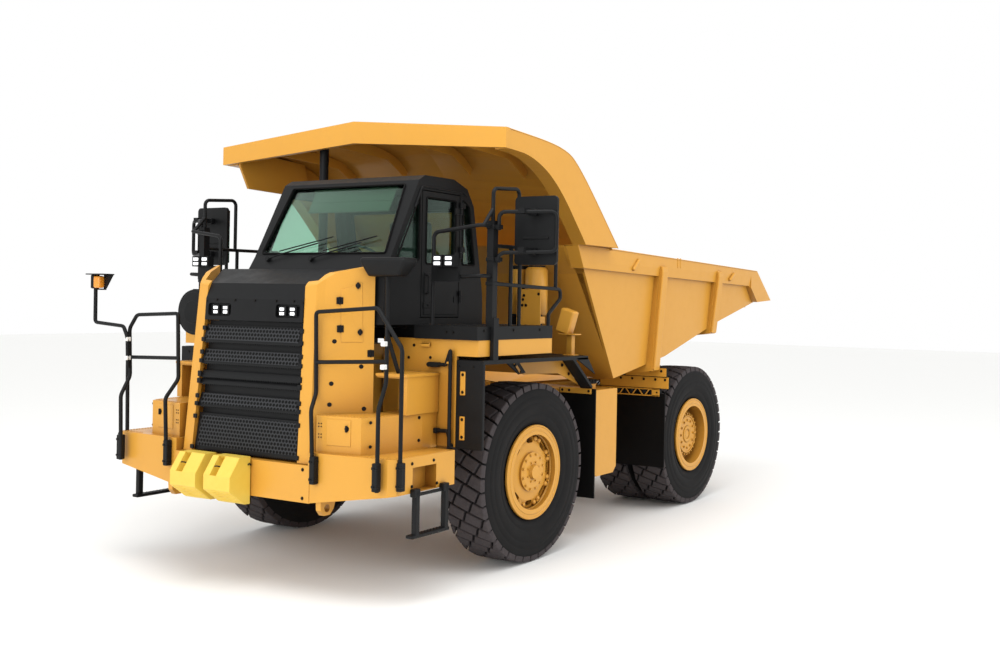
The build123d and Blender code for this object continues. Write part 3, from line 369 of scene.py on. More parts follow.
def slab(bm, corner, other, bevel=0.003, segments=1):
    """Plate or block between two opposite corners, with its edges rounded."""
    size = [abs(b - a) for a, b in zip(corner, other)]
    middle = [(a + b) / 2 for a, b in zip(corner, other)]
    place = Matrix.Translation(middle) @ Matrix.Diagonal((*size, 1.0))
    verts = bmesh.ops.create_cube(bm, size=1.0, matrix=place)["verts"]
    soften(bm, {edge for vert in verts for edge in vert.link_edges}, bevel, segments)


def mirrored(side, points):
    """Points given on the truck's left, on the side asked for."""
    return [(side * x, y, z) for x, y, z in points]


def slab_pair(bm, corner, other, *edge):
    """A slab on the truck's left and its mirror image on the right."""
    for side in SIDES:
        slab(bm, *mirrored(side, (corner, other)), *edge)


def new_ring(bm, points):
    return [bm.verts.new(point) for point in points]


def wall(bm, first, second):
    """Faces between two closed rings of vertices."""
    nexts = zip(first, first[1:] + first[:1], second[1:] + second[:1], second)
    return [bm.faces.new(corners) for corners in nexts]


def cut_plate(bm, outline, near_x, far_x, bevel=0.003):
    """Plate cut to a side outline of (y, z) points, between two stations across the truck."""
    rings = [new_ring(bm, [(x, y, z) for y, z in outline]) for x in sorted((near_x, far_x))]
    wall(bm, *rings)
    soften(bm, {edge for ring in rings for edge in bm.faces.new(ring).edges}, bevel, 2)


def turned(bm, line, centre, axis, steps, closed=False):
    """Skin turned about an axis from a line of points, or a ring from a closed section."""
    verts = new_ring(bm, line)
    pairs = list(zip(verts, verts[1:] + verts[:1]))
    edges = [bm.edges.new(pair) for pair in (pairs if closed else pairs[:-1])]
    geometry = verts + edges
    bmesh.ops.spin(bm, geom=geometry, cent=centre, axis=axis, angle=FULL_TURN, steps=steps, use_merge=True)


def stub(bm, place, foot_radius, top_radius, height, sides=8):
    """Round stub that stands along a place's +Z, about its middle."""
    bmesh.ops.create_cone(
        bm, cap_ends=True, segments=sides, radius1=foot_radius, radius2=top_radius, depth=height, matrix=place
    )


def bolts(bm, spots, direction, radius=0.013, height=0.012):
    """Hexagon-headed bolts on washers, standing out along a direction."""
    away = Vector(direction).normalized()
    for spot in spots:
        for sides, width, low, high in ((16, radius * 1.45, -0.002, 0.003), (6, radius, 0.002, height)):
            middle = Vector(spot) + away * (low + high) / 2
            stub(bm, at(middle, direction), width, width * 0.94, high - low, sides)


def bolt_pairs(bm, spots, direction, radius, height):
    """Bolts at spots on the truck's left, and their mirror images on its right."""
    for side in SIDES:
        bolts(bm, mirrored(side, spots), mirrored(side, [direction])[0], radius, height)


def screw_set(name, *groups, body="chassis"):
    """Steel screws on both sides; each group is (spots on the left, the way they face, radius, height)."""
    heads = bmesh.new()
    for group in groups:
        bolt_pairs(heads, *group)
    piece(name, heads, fastener_steel, body)


FORWARD, OUTWARD = (0, -1, 0), (1, 0, 0)


def bent(points, reach, closed=False):
    """Route with each corner held by two nearby points, so that it bends there only."""
    points = [Vector(point) for point in points]
    last = len(points) - 1
    route = []
    for i, point in enumerate(points):
        if not closed and i in (0, last):
            route.append(point)
            continue
        before, after = points[i - 1] - point, points[(i + 1) % len(points)] - point
        route.append(point + before * min(0.45, reach / before.length))
        route.append(point)
        route.append(point + after * min(0.45, reach / after.length))
    return route + [route[0]] if closed else route


# ---------------------------------------------------------------- tyres
# Off-road tyres, moulded in one: a plain sidewall with fine centring rings, and a tread of
# slanted rubber bricks in broken diagonal rows, parted by deep narrow grooves.
AXLE_Z = 0.9375
FRONT_AXLE_Y, REAR_AXLE_Y = -2.0, 1.96
FRONT_TRACK, INNER_TRACK, OUTER_TRACK = 1.59, 0.94, 1.52
TYRE_RADIUS, CORE_RADIUS, BRICK_ROOT = 0.9375, 0.896, 0.872
TREAD_HALF = 0.237
BRICK_ROWS = 40
BRICK_WIDTH = 0.19
GROOVE = 0.024
SLANT = -0.42
SIDEWALL = [  # (out from the middle, radius)
    (0.168, 0.434), (0.176, 0.452), (0.182, 0.48), (0.203, 0.506), (0.222, 0.545), (0.236, 0.6),
    (0.2335, 0.604), (0.2365, 0.609), (0.246, 0.67), (0.249, 0.72), (0.2465, 0.724), (0.2485, 0.73),
    (0.247, 0.79), (0.2445, 0.793), (0.2455, 0.8), (0.24, 0.85), (0.232, 0.88), (0.205, 0.893),
]


def tyre_casing(bm):
    """Casing about the X axis, at the origin."""
    profile = SIDEWALL + [(0.12, CORE_RADIUS), (0.0, CORE_RADIUS + 0.001), (-0.12, CORE_RADIUS)]
    profile += [(-across, radius) for across, radius in reversed(SIDEWALL)]
    turned(bm, [(across, -radius, 0.0) for across, radius in profile], (0, 0, 0), (1, 0, 0), 96)


def brick_outline(row, start, end):
    """Corners of one brick as (across, round the wheel), its ends cut square to the slanted row."""
    pitch = FULL_TURN * TYRE_RADIUS / BRICK_ROWS
    low = row * pitch + GROOVE / 2
    high = (row + 1) * pitch - GROOVE / 2
    corners = []
    for edge, cut in ((low, start), (low, end), (high, end), (high, start)):
        inner_end = abs(cut) < TREAD_HALF
        across = cut - SLANT * (edge - (low + high) / 2) if inner_end else cut
        corners.append((across, edge + SLANT * across))
    return corners


def tyre_tread(bm):
    """Rows of bricks on a slightly crowned tread, each one drawn in and rounded at its top."""
    for row in range(BRICK_ROWS):
        shift = (row % 2) * BRICK_WIDTH / 2 - BRICK_WIDTH * 1.55
        cuts = [shift + BRICK_WIDTH * i for i in range(5)]
        cuts = [-TREAD_HALF] + [c for c in cuts if abs(c) < TREAD_HALF - 0.03] + [TREAD_HALF]
        for start, end in zip(cuts, cuts[1:]):
            start += GROOVE / 2 if start > -TREAD_HALF else 0.0
            end -= GROOVE / 2 if end < TREAD_HALF else 0.0
            rings = []
            for is_top, narrowing in ((False, 1.0), (True, 0.985)):
                ring = []
                for across, round_wheel in brick_outline(row, start, end):
                    angle = round_wheel / TYRE_RADIUS
                    crown = TYRE_RADIUS - 0.006 * (across / TREAD_HALF) ** 2
                    radius = crown if is_top else BRICK_ROOT
                    ring.append((across * narrowing, -radius * math.cos(angle), radius * math.sin(angle)))
                rings.append(new_ring(bm, ring))
            wall(bm, *rings)
            soften(bm, bm.faces.new(rings[1]).edges, 0.007)


for label, stations, axle_y, body, node in (
    ("front_left_tyre", [FRONT_TRACK], FRONT_AXLE_Y, "front_wheel_left", "front_tyre_left"),
    ("front_right_tyre", [-FRONT_TRACK], FRONT_AXLE_Y, "front_wheel_right", "front_tyre_right"),
    ("rear_left_tyres", [INNER_TRACK, OUTER_TRACK], REAR_AXLE_Y, "rear_wheels_left", "rear_tyres_left"),
    ("rear_right_tyres", [-INNER_TRACK, -OUTER_TRACK], REAR_AXLE_Y, "rear_wheels_right", "rear_tyres_right"),
):
    casing = bmesh.new()
    tread = bmesh.new()
    for x in stations:
        place = Matrix.Translation((x, axle_y, AXLE_Z))
        add_at(casing, place, tyre_casing)
        add_at(tread, place, tyre_tread)
    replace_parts(piece(f"{label}_casing", casing, tyre_rubber, body, smooth=True), node)
    piece(f"{label}_tread", tread, tread_rubber, body)

# ---------------------------------------------------------------- wheels
# Pressed and welded steel rims in machine enamel. The front disc is held by rounded clamp lugs
# between its hand holes and carries a bolted hub; the rear one ends in a bolted planetary cover.
finish_nodes(machine_enamel, "front_rim_left", "front_rim_right", "rear_rims_left", "rear_rims_right")
LOCK_RINGS = [  # closed sections of (radius, out)
    [(0.47, 0.222), (0.494, 0.222), (0.494, 0.233), (0.484, 0.237), (0.474, 0.233)],
    [(0.425, 0.225), (0.445, 0.225), (0.443, 0.236), (0.428, 0.236)],
]
FRONT_RINGS = LOCK_RINGS + [[(0.386, 0.15), (0.4, 0.15), (0.4, 0.178), (0.39, 0.182)]]
REAR_RINGS = LOCK_RINGS + [
    [(0.238, 0.146), (0.262, 0.146), (0.262, 0.158), (0.24, 0.16)],
    [(0.06, 0.148), (0.12, 0.148), (0.112, 0.162), (0.066, 0.162)],
]
FRONT_BOLTS = [  # (count, first angle, circle radius, out, head radius, head height)
    (8, 22.5, 0.352, 0.178, 0.01, 0.014), (12, 15.0, 0.182, 0.213, 0.011, 0.014),
    (8, 22.5, 0.105, 0.216, 0.008, 0.014),
]
REAR_BOLTS = [
    (24, 0.0, 0.278, 0.135, 0.014, 0.02), (12, 0.0, 0.19, 0.15, 0.014, 0.02),
    (24, 0.0, 0.355, 0.038, 0.014, 0.02),
]
LUG_SQUASH = Matrix.Diagonal((0.85, 1.0, 1.0, 1.0))
FRONT_NAMES, REAR_NAMES = ("rim_clamps", "hub_bolts"), ("rim_rings", "cover_bolts")


def on_wheel(centre, side, radius, angle, out):
    return Vector(centre) + Vector((side * out, -radius * math.cos(angle), radius * math.sin(angle)))


for label, side in (("left", 1), ("right", -1)):
    for axle, body, place, sections, circles, names in (
        ("front", "front_wheel", (FRONT_TRACK, FRONT_AXLE_Y, AXLE_Z), FRONT_RINGS, FRONT_BOLTS, FRONT_NAMES),
        ("rear", "rear_wheels", (OUTER_TRACK, REAR_AXLE_Y, AXLE_Z), REAR_RINGS, REAR_BOLTS, REAR_NAMES),
    ):
        (centre,) = mirrored(side, [place])
        rings = bmesh.new()
        for section in sections:
            line = [on_wheel(centre, side, radius, 0.0, out) for radius, out in section]
            turned(rings, line, centre, (1, 0, 0), 64, closed=True)
        lug_angles = [math.radians(22.5 + 45 * i) for i in range(8)] if axle == "front" else []
        for angle in lug_angles:
            for offset in (-0.11, 0.11):
                lug = at(on_wheel(centre, side, 0.352, angle + offset, 0.16)) @ LUG_SQUASH
                bmesh.ops.create_uvsphere(rings, u_segments=16, v_segments=10, radius=0.03, matrix=lug)
        heads = bmesh.new()
        for count, start, radius, out, head, height in circles:
            angles = [math.radians(start + 360 / count * i) for i in range(count)]
            bolts(heads, [on_wheel(centre, side, radius, a, out) for a in angles], (side, 0, 0), head, height)
        piece(f"{axle}_{label}_{names[0]}", rings, machine_enamel, f"{body}_{label}", smooth=True)
        piece(f"{axle}_{label}_{names[1]}", heads, machine_enamel, f"{body}_{label}")

# ---------------------------------------------------------------- grille
# Folded louvres of perforated sheet, black powder-coated, hooked over the notched edge of the
# side panels with square tabs; a row of square teeth hangs from each fold.
finish_nodes(chassis_black, "grille")
LOUVRES = [  # (top, foot, perforated)
    (2.44, 2.271, True), (2.205, 2.062, True), (1.996, 1.929, False),
    (1.925, 1.863, False), (1.777, 1.644, True), (1.578, 1.225, True),
]
FOLD, LEAN_BACK, SHEET, MARGIN = 0.018, 0.03, 0.004, 0.035
TOOTH_PITCH = 0.03


def louvre_front(z):
    return -4.192 + (z - 1.209) * 0.045


def grille_half(z):
    return 0.7 - (z - 1.2) * 0.0423


faces = bmesh.new()
tabs = bmesh.new()
for top, foot, perforated in LOUVRES:
    front_y = louvre_front(foot)
    lean = Vector((0.0, louvre_front(top) + LEAN_BACK - front_y, top - foot - FOLD))
    if perforated:
        outline = []
        for share, ends in ((0.06, (-1, 1)), (0.94, (1, -1))):
            y, z = front_y + lean.y * share, foot + FOLD + lean.z * share
            outline += [Vector((end * (grille_half(z) - MARGIN), y, z)) for end in ends]
        out = Vector((0.0, -lean.z, lean.y)).normalized() * SHEET
        back, front = new_ring(faces, outline), new_ring(faces, [point + out for point in outline])
        faces.faces.new(front)
        wall(faces, back, front)
        hooks = [(top - 0.052, top - 0.01), (foot + 0.006, foot + 0.046)]
    else:
        hooks = [(foot + 0.006, top - 0.008)]
    count = int(2 * grille_half(foot) / (TOOTH_PITCH + 0.001))
    for i in range(count):
        x = (i - (count - 1) / 2) * TOOTH_PITCH
        slab(tabs, (x - 0.007, front_y + 0.001, foot - 0.009), (x + 0.007, front_y + 0.012, foot), 0.0015)
    for side in SIDES:
        for low_z, high_z in hooks:
            z = (low_z + high_z) / 2
            y = -4.22 + (z - 1.205) * 0.072
            near, far = side * (grille_half(z) - 0.02), side * (grille_half(z) + 0.026)
            slab(tabs, (near, y - 0.012, low_z), (far, y + 0.006, high_z), 0.004)
piece("grille_perforated_faces", faces, perforated_black)
piece("grille_tabs_and_teeth", tabs, chassis_black)

# ---------------------------------------------------------------- hood
# Fibreglass hood top over a lamp plate; enamelled steel side panels with a latched service
# door on each flank, black rubber plugs in the bolt holes, and a strap hinge at the rear.
finish_nodes(chassis_black, "hood_cover")
finish_nodes(machine_enamel, "hood_panels")
HOOD_REAR = {1: 1.17, -1: 0.96}  # the left flank runs out to the cab
HOOD_REAR_Y = -3.742
PLUGS = [(0.225, 2.322), (0.197, 1.933), (0.179, 1.741), (0.759, 2.09), (0.829, 1.697)]
LATCHES = [(0.657, 2.843), (0.721, 2.41)]
HINGES = [(0.301, 2.7), (0.331, 2.439)]
DOOR_CORNERS = [(0.315, 2.8), (0.355, 2.316), (0.781, 2.316), (0.742, 2.872)]  # (share of length, z)


def on_flank(side, share, z, out=0.0):
    """Point on the hood's flank, at a share of its length from the front, and the way it faces."""
    rise = (z - 1.205) / 1.875
    start = Vector((0.885 - 0.062 * rise, -4.15 + 0.135 * rise, z))
    run = Vector((HOOD_REAR[side], HOOD_REAR_Y, z)) - start
    away = Vector((run.y, -run.x, 0.0)).normalized()
    spot = start + run * share + away * out
    return Vector((side * spot.x, spot.y, spot.z)), Vector((side * away.x, away.y, 0.0))


def flank_frame(side, share, z, out=0.0):
    """Matrix that puts +X along the flank, +Z up and -Y out of it."""
    spot, away = on_flank(side, share, z, out)
    up = Vector((0, 0, 1))
    axes = Matrix((up.cross(-away), -away, up)).transposed().to_4x4()
    return Matrix.Translation(spot) @ axes


def paddle_latch(bm):
    stub(bm, at((0, -0.004, 0), (0, -1, 0)), 0.024, 0.021, 0.008, 20)
    slab(bm, (-0.01, -0.02, -0.03), (0.01, -0.004, 0.03), 0.005, 2)


def strap_hinge(bm):
    for end in SIDES:
        slab(bm, (end * 0.03, -0.008, -0.032), (end * 0.003, 0.0, 0.032), 0.003)
    stub(bm, at((0, -0.007, 0)), 0.007, 0.007, 0.07, 14)
    bolts(bm, [(x, -0.008, z) for x in (-0.017, 0.017) for z in (-0.018, 0.018)], (0, -1, 0), 0.005, 0.005)


def plug(bm):
    stub(bm, at((0, -0.003, 0), (0, -1, 0)), 0.021, 0.017, 0.006, 20)


fittings = bmesh.new()
doors = bmesh.new()
for side in SIDES:
    for make, out, spots in (
        (paddle_latch, 0.006, LATCHES), (strap_hinge, 0.004, HINGES), (strap_hinge, 0.0, [(0.938, 2.212)]),
        (plug, 0.0, PLUGS),
    ):
        for share, z in spots:
            add_at(fittings, flank_frame(side, share, z, out), make)
    # service door: a thin sheet standing just proud of the flank
    inner = new_ring(doors, [on_flank(side, share, z, -0.002)[0] for share, z in DOOR_CORNERS])
    outer = new_ring(doors, [on_flank(side, share, z, 0.005)[0] for share, z in DOOR_CORNERS])
    skin = doors.faces.new(outer)
    wall(doors, inner, outer)
    soften(doors, skin.edges, 0.003, 2)
piece("hood_latches_and_plugs", fittings, chassis_black)
piece("hood_service_doors", doors, machine_enamel)


def lamp_cells(name, starts, width, front_y, feet, height):
    """Four small lenses in each lamp, on both sides of the truck."""
    cells = bmesh.new()
    for x in starts:
        for z in feet:
            slab_pair(cells, (x, front_y, z), (x + width, front_y + 0.007, z + height), 0.006, 3)
    piece(name, cells, lamp_lens)


lamp_cells("hood_lamp_lenses", (0.353, 0.488), 0.054, -4.131, (2.554, 2.596), 0.028)
screws = bmesh.new()
bolt_pairs(screws, [(0.64, -4.119, z) for z in (2.52, 2.6, 2.672)], FORWARD, 0.011, 0.01)
bolts(screws, [(x, -4.124, 2.686) for x in (-0.5, -0.25, 0.02, 0.3, 0.53)], FORWARD, 0.01, 0.009)
piece("hood_plate_screws", screws, fastener_steel)

# ---------------------------------------------------------------- bumper and steps
# Folded and welded plate in machine enamel: punched anti-slip edges, bolted pockets for the
# stirrup steps, and a latched locker under each tread.
finish_nodes(machine_enamel, "front_bumper", "step_boxes")
BUTTON = (0.009, 0.006, 0.006)  # foot radius, top radius, height
stirrups = bmesh.new()
for side in SIDES:
    low_x, high_x = sorted((side * 1.832, side * 1.884))
    for y in (-3.925, -3.52):
        hanger = [(y - 0.028, 0.606), (y - 0.028, 1.036), (y + 0.028, 1.036), (y + 0.028, 0.606)]
        cut_plate(stirrups, hanger, low_x, high_x, 0.008)
        slab(stirrups, (low_x - 0.006, y - 0.05, 0.966), (high_x, y + 0.036, 1.04), 0.01, 2)
    for row in range(2):
        for i in range(9):
            stub(stirrups, at((side * (1.822 + 0.034 * row), -3.88 + 0.042 * i, 0.634)), *BUTTON)
slab_pair(stirrups, (1.8, -3.99, 0.6), (1.885, -3.476, 0.632), 0.008, 2)
slab_pair(stirrups, (1.836, -3.93, 0.968), (1.866, -3.5, 0.998), 0.008, 2)
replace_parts(piece("stirrup_steps", stirrups, chassis_black), "lower_ladders")

BUTTON_PITCH = 0.032
TREAD_EDGES = [  # (start, end, step to the second row), on the left
    ((0.95, -4.17, 1.655), (1.385, -4.116, 1.655), (0.0, 0.026)),
    ((1.415, -4.085, 1.655), (1.52, -3.5, 1.655), (-0.026, 0.0)),
    ((1.48, -4.195, 1.32), (1.76, -4.176, 1.32), (0.0, 0.026)),
    ((1.8, -4.12, 1.32), (1.8, -3.4, 1.32), (-0.026, 0.0)),
    ((1.2, -3.715, 2.03), (1.55, -3.715, 2.03), (0.0, 0.026)),
]
studs = bmesh.new()
for side in SIDES:
    for start, end, across in TREAD_EDGES:
        run = Vector(end) - Vector(start)
        count = int(run.length / BUTTON_PITCH)
        for row in range(2):
            for i in range(count):
                spot = Vector(start) + run * ((i + 0.5 * row + 0.25) / count)
                spot += Vector((across[0] * row, across[1] * row, 0.001))
                stub(studs, at(*mirrored(side, [spot])), *BUTTON)
piece("anti_slip_buttons", studs, machine_enamel)

doors = bmesh.new()
latches = bmesh.new()
for side in SIDES:
    place = Matrix.Translation((0.915, -4.195, 0.0)) @ Matrix.Rotation(math.atan2(0.059, 0.48), 4, "Z")
    if side < 0:
        place = Matrix.Diagonal((-1.0, 1.0, 1.0, 1.0)) @ place
    add_at(doors, place, slab, (0.115, -0.005, 1.392), (0.376, 0.002, 1.63), 0.003, 2)
    add_at(latches, place @ at((0.335, -0.004, 1.55)), paddle_latch)
    for z in (1.473, 1.57):
        spots = [(0.04 + x, -0.001, z + up) for x in (-0.014, 0.014) for up in (-0.014, 0.014)]
        add_at(latches, place, bolts, spots, FORWARD, 0.004, 0.004)
piece("locker_doors", doors, machine_enamel)
piece("locker_latches", latches, chassis_black)
locker = [(1.456, -4.08, 1.613), (1.456, -4.08, 1.397), (1.538, -3.52, 1.618), (1.538, -3.52, 1.406)]
pocket = [(1.83, y, z) for y, z in ((-3.952, 1.263), (-3.655, 1.261), (-3.952, 1.06), (-3.605, 1.045))]
beside_chocks = [(0.82, -4.259, z) for z in (1.16, 0.9)]
screw_set(
    "bumper_screws", (locker, (0.545, -0.08, 0.0), 0.011, 0.01), (pocket, OUTWARD, 0.011, 0.01),
    (beside_chocks, FORWARD, 0.012, 0.01),
)

# ---------------------------------------------------------------- handrails and marker lamp
# Bent steel tube in black, clamped in split sockets; white nylon clips carry the lamp wiring.
# The right rail carries an arm with the amber marker lamp in its folded housing.
finish_nodes(chassis_black, "deck_handrails")
RAIL_RUNS = [
    [(0.97, -4.285, 1.045), (0.935, -4.285, 1.711), (0.85, -4.142, 1.85), (0.832, -4.142, 2.592),
     (1.57, -4.142, 2.643), (1.856, -4.14, 2.29), (1.856, -4.14, 1.06)],
    [(1.684, -4.142, 2.48), (1.681, -4.142, 1.982), (1.708, -4.265, 1.76), (1.708, -4.265, 1.04)],
    [(0.845, -4.142, 2.133), (1.684, -4.142, 2.172)],
    [(-0.985, -4.285, 1.045), (-1.018, -4.285, 1.704), (-1.012, -4.142, 1.887), (-1.035, -4.142, 2.54),
     (-1.653, -4.142, 2.514), (-1.766, -4.142, 2.371), (-1.745, -4.142, 1.885), (-1.69, -4.285, 1.697),
     (-1.672, -4.285, 1.045)],
    [(-1.733, -4.142, 2.077), (-1.032, -4.142, 2.095)],
    [(-2.238, -4.2, 2.78), (-2.236, -4.2, 2.425), (-1.79, -4.195, 2.395), (-1.735, -4.188, 2.28),
     (-1.732, -4.18, 1.97)],
    [(-1.787, -4.142, 2.0), (-1.77, -4.142, 1.06)],
]
tubes = rod("rail_tubes", [bent(run, 0.075) for run in RAIL_RUNS], 0.019, chassis_black)
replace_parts(tubes, "front_handrails")

QUARTER_TURN = turn(90, "Z")  # stands a side outline across the truck
housing = bmesh.new()
slab(housing, (-2.259, -4.25, 2.775), (-2.212, -4.165, 2.92), 0.014, 3)
slab(housing, (-2.259, -4.306, 2.918), (-1.985, -4.166, 2.93), 0.005, 2)
slab(housing, (-2.24, -4.21, 2.762), (-2.1, -4.17, 2.776), 0.005)
cheek = [(2.13, 2.919), (1.992, 2.919), (2.1, 2.776), (2.13, 2.776)]
add_at(housing, QUARTER_TURN, cut_plate, cheek, -4.188, -4.17)
piece("marker_lamp_housing", housing, chassis_black)
amber = bmesh.new()
slab(amber, (-2.214, -4.252, 2.782), (-2.118, -4.18, 2.908), 0.02, 4)
piece("marker_lamp_lens", amber, amber_lens)

clips = bmesh.new()
for x, z in ((1.688, 2.33), (1.686, 2.126), (-1.737, 2.262), (-1.735, 2.07)):
    slab(clips, (x - 0.024, -4.206, z - 0.022), (x + 0.02, -4.158, z + 0.022), 0.007, 2)
piece("rail_wiring_clips", clips, clip_nylon)
sockets = bmesh.new()
for side in SIDES:
    for out, y in ((0.977, -4.285), (1.7, -4.27), (1.862, -4.14)):
        x = side * out
        slab(sockets, (x - 0.029, y - 0.028, 1.045), (x + 0.029, y + 0.034, 1.296), 0.009, 2)
        for z in (1.09, 1.25):
            slab(sockets, (x - 0.033, y - 0.032, z - 0.012), (x + 0.033, y + 0.02, z + 0.012), 0.004)
            bolts(sockets, [(x, y - 0.03, z)], FORWARD, 0.007, 0.01)
piece("rail_foot_clamps", sockets, chassis_black)

GRIP_RUNS = [
    [(1.45, -3.262, 2.105), (1.45, -3.305, 2.105), (1.67, -3.305, 2.11), (1.722, -3.305, 2.25),
     (1.722, -3.305, 1.34), (1.722, -3.262, 1.34)],
    [(1.722, -3.3, 1.36), (1.716, -3.296, 1.42), (1.69, -3.29, 1.48), (1.47, -3.29, 1.478)],
]
grips = [bent(mirrored(side, run), 0.03) for side in SIDES for run in GRIP_RUNS]
rod("grab_handles", grips, 0.0185, chassis_black)
mounts = bmesh.new()
for z in (2.106, 1.478):
    slab_pair(mounts, (1.455, -3.322, z - 0.024), (1.58, -3.262, z + 0.024), 0.008, 2)
piece("grab_handle_mounts", mounts, chassis_black)
lamp_cells("deck_work_lamp_lenses", (1.56, 1.695), 0.075, -3.381, (3.054, 3.103), 0.032)

# ---------------------------------------------------------------- front panels, fender strips and flaps
# Yellow bulkhead bolted behind the steps, black folded fenders on yellow backing strips, and
# rubber flaps clamped under them.
finish_nodes(machine_enamel, "front_panels")
finish_nodes(chassis_black, "fenders")
finish_nodes(flap_rubber, "front_flaps")
strips = bmesh.new()
for low_z, high_z in ((1.826, 2.052), (1.402, 1.628)):
    slab_pair(strips, (1.812, -3.268, low_z), (1.872, -3.261, high_z), 0.006, 2)
for y in (-0.827, -0.792):
    slab_pair(strips, (1.368, y, 1.675), (1.79, y + 0.015, 1.738), 0.006, 2)
piece("fender_strips", strips, machine_enamel)
handles = bmesh.new()
slab_pair(handles, (1.35, -3.285, 2.296), (1.45, -3.259, 2.312), 0.004)
slab_pair(handles, (1.35, -3.285, 2.27), (1.45, -3.279, 2.312), 0.003)
piece("bulkhead_handles", handles, machine_enamel)
on_strips = [(1.842, -3.268, z) for z in (1.856, 2.022, 1.432, 1.598)]
on_strips += [(x, -0.827, 1.708) for x in (1.4, 1.494, 1.757)]
on_wall = [(1.241, 2.281), (1.177, 2.16), (1.445, 2.169), (1.445, 1.365), (1.72, 1.35)]
on_wall = [(x, -3.26, z) for x, z in on_wall]
on_leaf = [(x, -3.262, 2.1) for x in (1.79, 1.96)]
screw_set(
    "bulkhead_screws", (on_strips, FORWARD, 0.011, 0.008), (on_wall, FORWARD, 0.011, 0.009),
    (on_leaf, FORWARD, 0.01, 0.008),
)

# ---------------------------------------------------------------- deck
# Folded deck plate in black with punched anti-slip buttons, its rim bolted to brackets; behind
# the cab two yellow accumulators stand on a bolted plate, with a filter canister beside them.
finish_nodes(chassis_black, "deck_platform")
DECK_EDGE_X = 1.9
studs = bmesh.new()
for side, start in ((1, 1.32), (-1, 0.7)):
    for column in range(int((DECK_EDGE_X - start) / 0.075)):
        for row in range(15):
            x = start + 0.075 * column + 0.037 * (row % 2)
            stub(studs, at((side * x, -3.22 + 0.078 * row, 2.481)), 0.012, 0.008, 0.006)
piece("deck_anti_slip_buttons", studs, chassis_black)
front_rim = [(x, -3.29, 2.42) for x in (1.653, 1.735)]
side_rim = [(2.02, y, 2.44) for y in (-3.18, -2.7, -2.24)]
screw_set("deck_screws", (front_rim, FORWARD, 0.012, 0.01), (side_rim, OUTWARD, 0.012, 0.01))

bottles = bmesh.new()
for x, wide in ((1.09, 0.102), (1.33, 0.128)):
    profile = [(0.0, 2.556), (wide * 0.7, 2.556), (wide, 2.585), (wide, 3.085), (wide * 0.7, 3.122),
               (0.03, 3.135), (0.0, 3.135)]
    centre = (x, -1.3, 0)
    turned(bottles, [(x + radius, -1.3, z) for radius, z in profile], centre, (0, 0, 1), 40)
piece("accumulator_bottles", bottles, machine_enamel, smooth=True)
plate = bmesh.new()
slab(plate, (1.165, -1.446, 2.2), (1.486, -1.434, 2.862), 0.004, 2)
slab(plate, (0.998, -1.446, 2.2), (1.165, -1.362, 2.3), 0.004)
for x in (1.18, 1.47):
    slab(plate, (x - 0.012, -1.44, 2.48), (x + 0.012, -1.34, 2.56), 0.003)
piece("accumulator_plate", plate, machine_enamel)
screws = bmesh.new()
spots = [(1.263, 2.793), (1.252, 2.746), (1.244, 2.683), (1.293, 2.683), (1.46, 2.81)]
bolts(screws, [(x, -1.446, z) for x, z in spots], FORWARD, 0.012, 0.01)
piece("accumulator_screws", screws, fastener_steel)
canister = bmesh.new()
lean = Matrix.Translation((1.812, -1.4, 2.515)) @ turn(17, "Y")
add_at(canister, lean, slab, (-0.088, -0.06, -0.135), (0.088, 0.06, 0.135), 0.022, 4)
slab(canister, (1.74, -1.47, 2.368), (1.962, -1.34, 2.38), 0.004)
slab(canister, (1.822, -1.43, 2.12), (1.894, -1.36, 2.372), 0.008, 2)
slab(canister, (1.79, -1.45, 2.14), (1.93, -1.34, 2.152), 0.004)
piece("filter_canister", canister, machine_enamel)

# ---------------------------------------------------------------- cab
# Welded shell in black with bonded tinted glass in rubber beads, two wipers on the cowl, a
# handle and push lock on the door, and a drip rail over it.
finish_nodes(chassis_black, "cab_shell", "cab_door")
finish_nodes(cab_glazing, "cab_glass", "door_glass")


def screen_y(z):
    """Where the raked windscreen stands at a height."""
    return -3.62 + (z - 3.13) * 0.5


def in_plane(x, outline):
    return [(x, y, z) for y, z in outline]


screen = [(-0.465, 3.16), (1.165, 3.16), (1.1, 3.85), (-0.4, 3.85)]
beads = [
    [(x, screen_y(z) - 0.006, z) for x, z in screen],
    in_plane(1.254, [(-3.545, 3.11), (-3.225, 3.11), (-3.225, 3.745)]),
    in_plane(1.254, [(-2.55, 3.09), (-2.345, 3.09), (-2.448, 3.69), (-2.55, 3.755)]),
    in_plane(-0.554, [(-3.47, 3.11), (-3.2, 3.77), (-2.52, 3.77), (-2.43, 3.11)]),
]
rod("cab_window_beads", [bent(bead, 0.045, True) for bead in beads], 0.009, flap_rubber)
door_bead = in_plane(1.252, [(-3.122, 3.078), (-2.663, 3.078), (-2.663, 3.732), (-3.122, 3.732)])
rod("cab_door_bead", [bent(door_bead, 0.045, True)], 0.009, flap_rubber, "door")
drip = in_plane(1.256, [(-3.3, 3.62), (-3.2, 3.828), (-2.56, 3.832), (-2.5, 3.8)])
rod("cab_drip_rail", [bent(drip, 0.05)], 0.01, chassis_black)

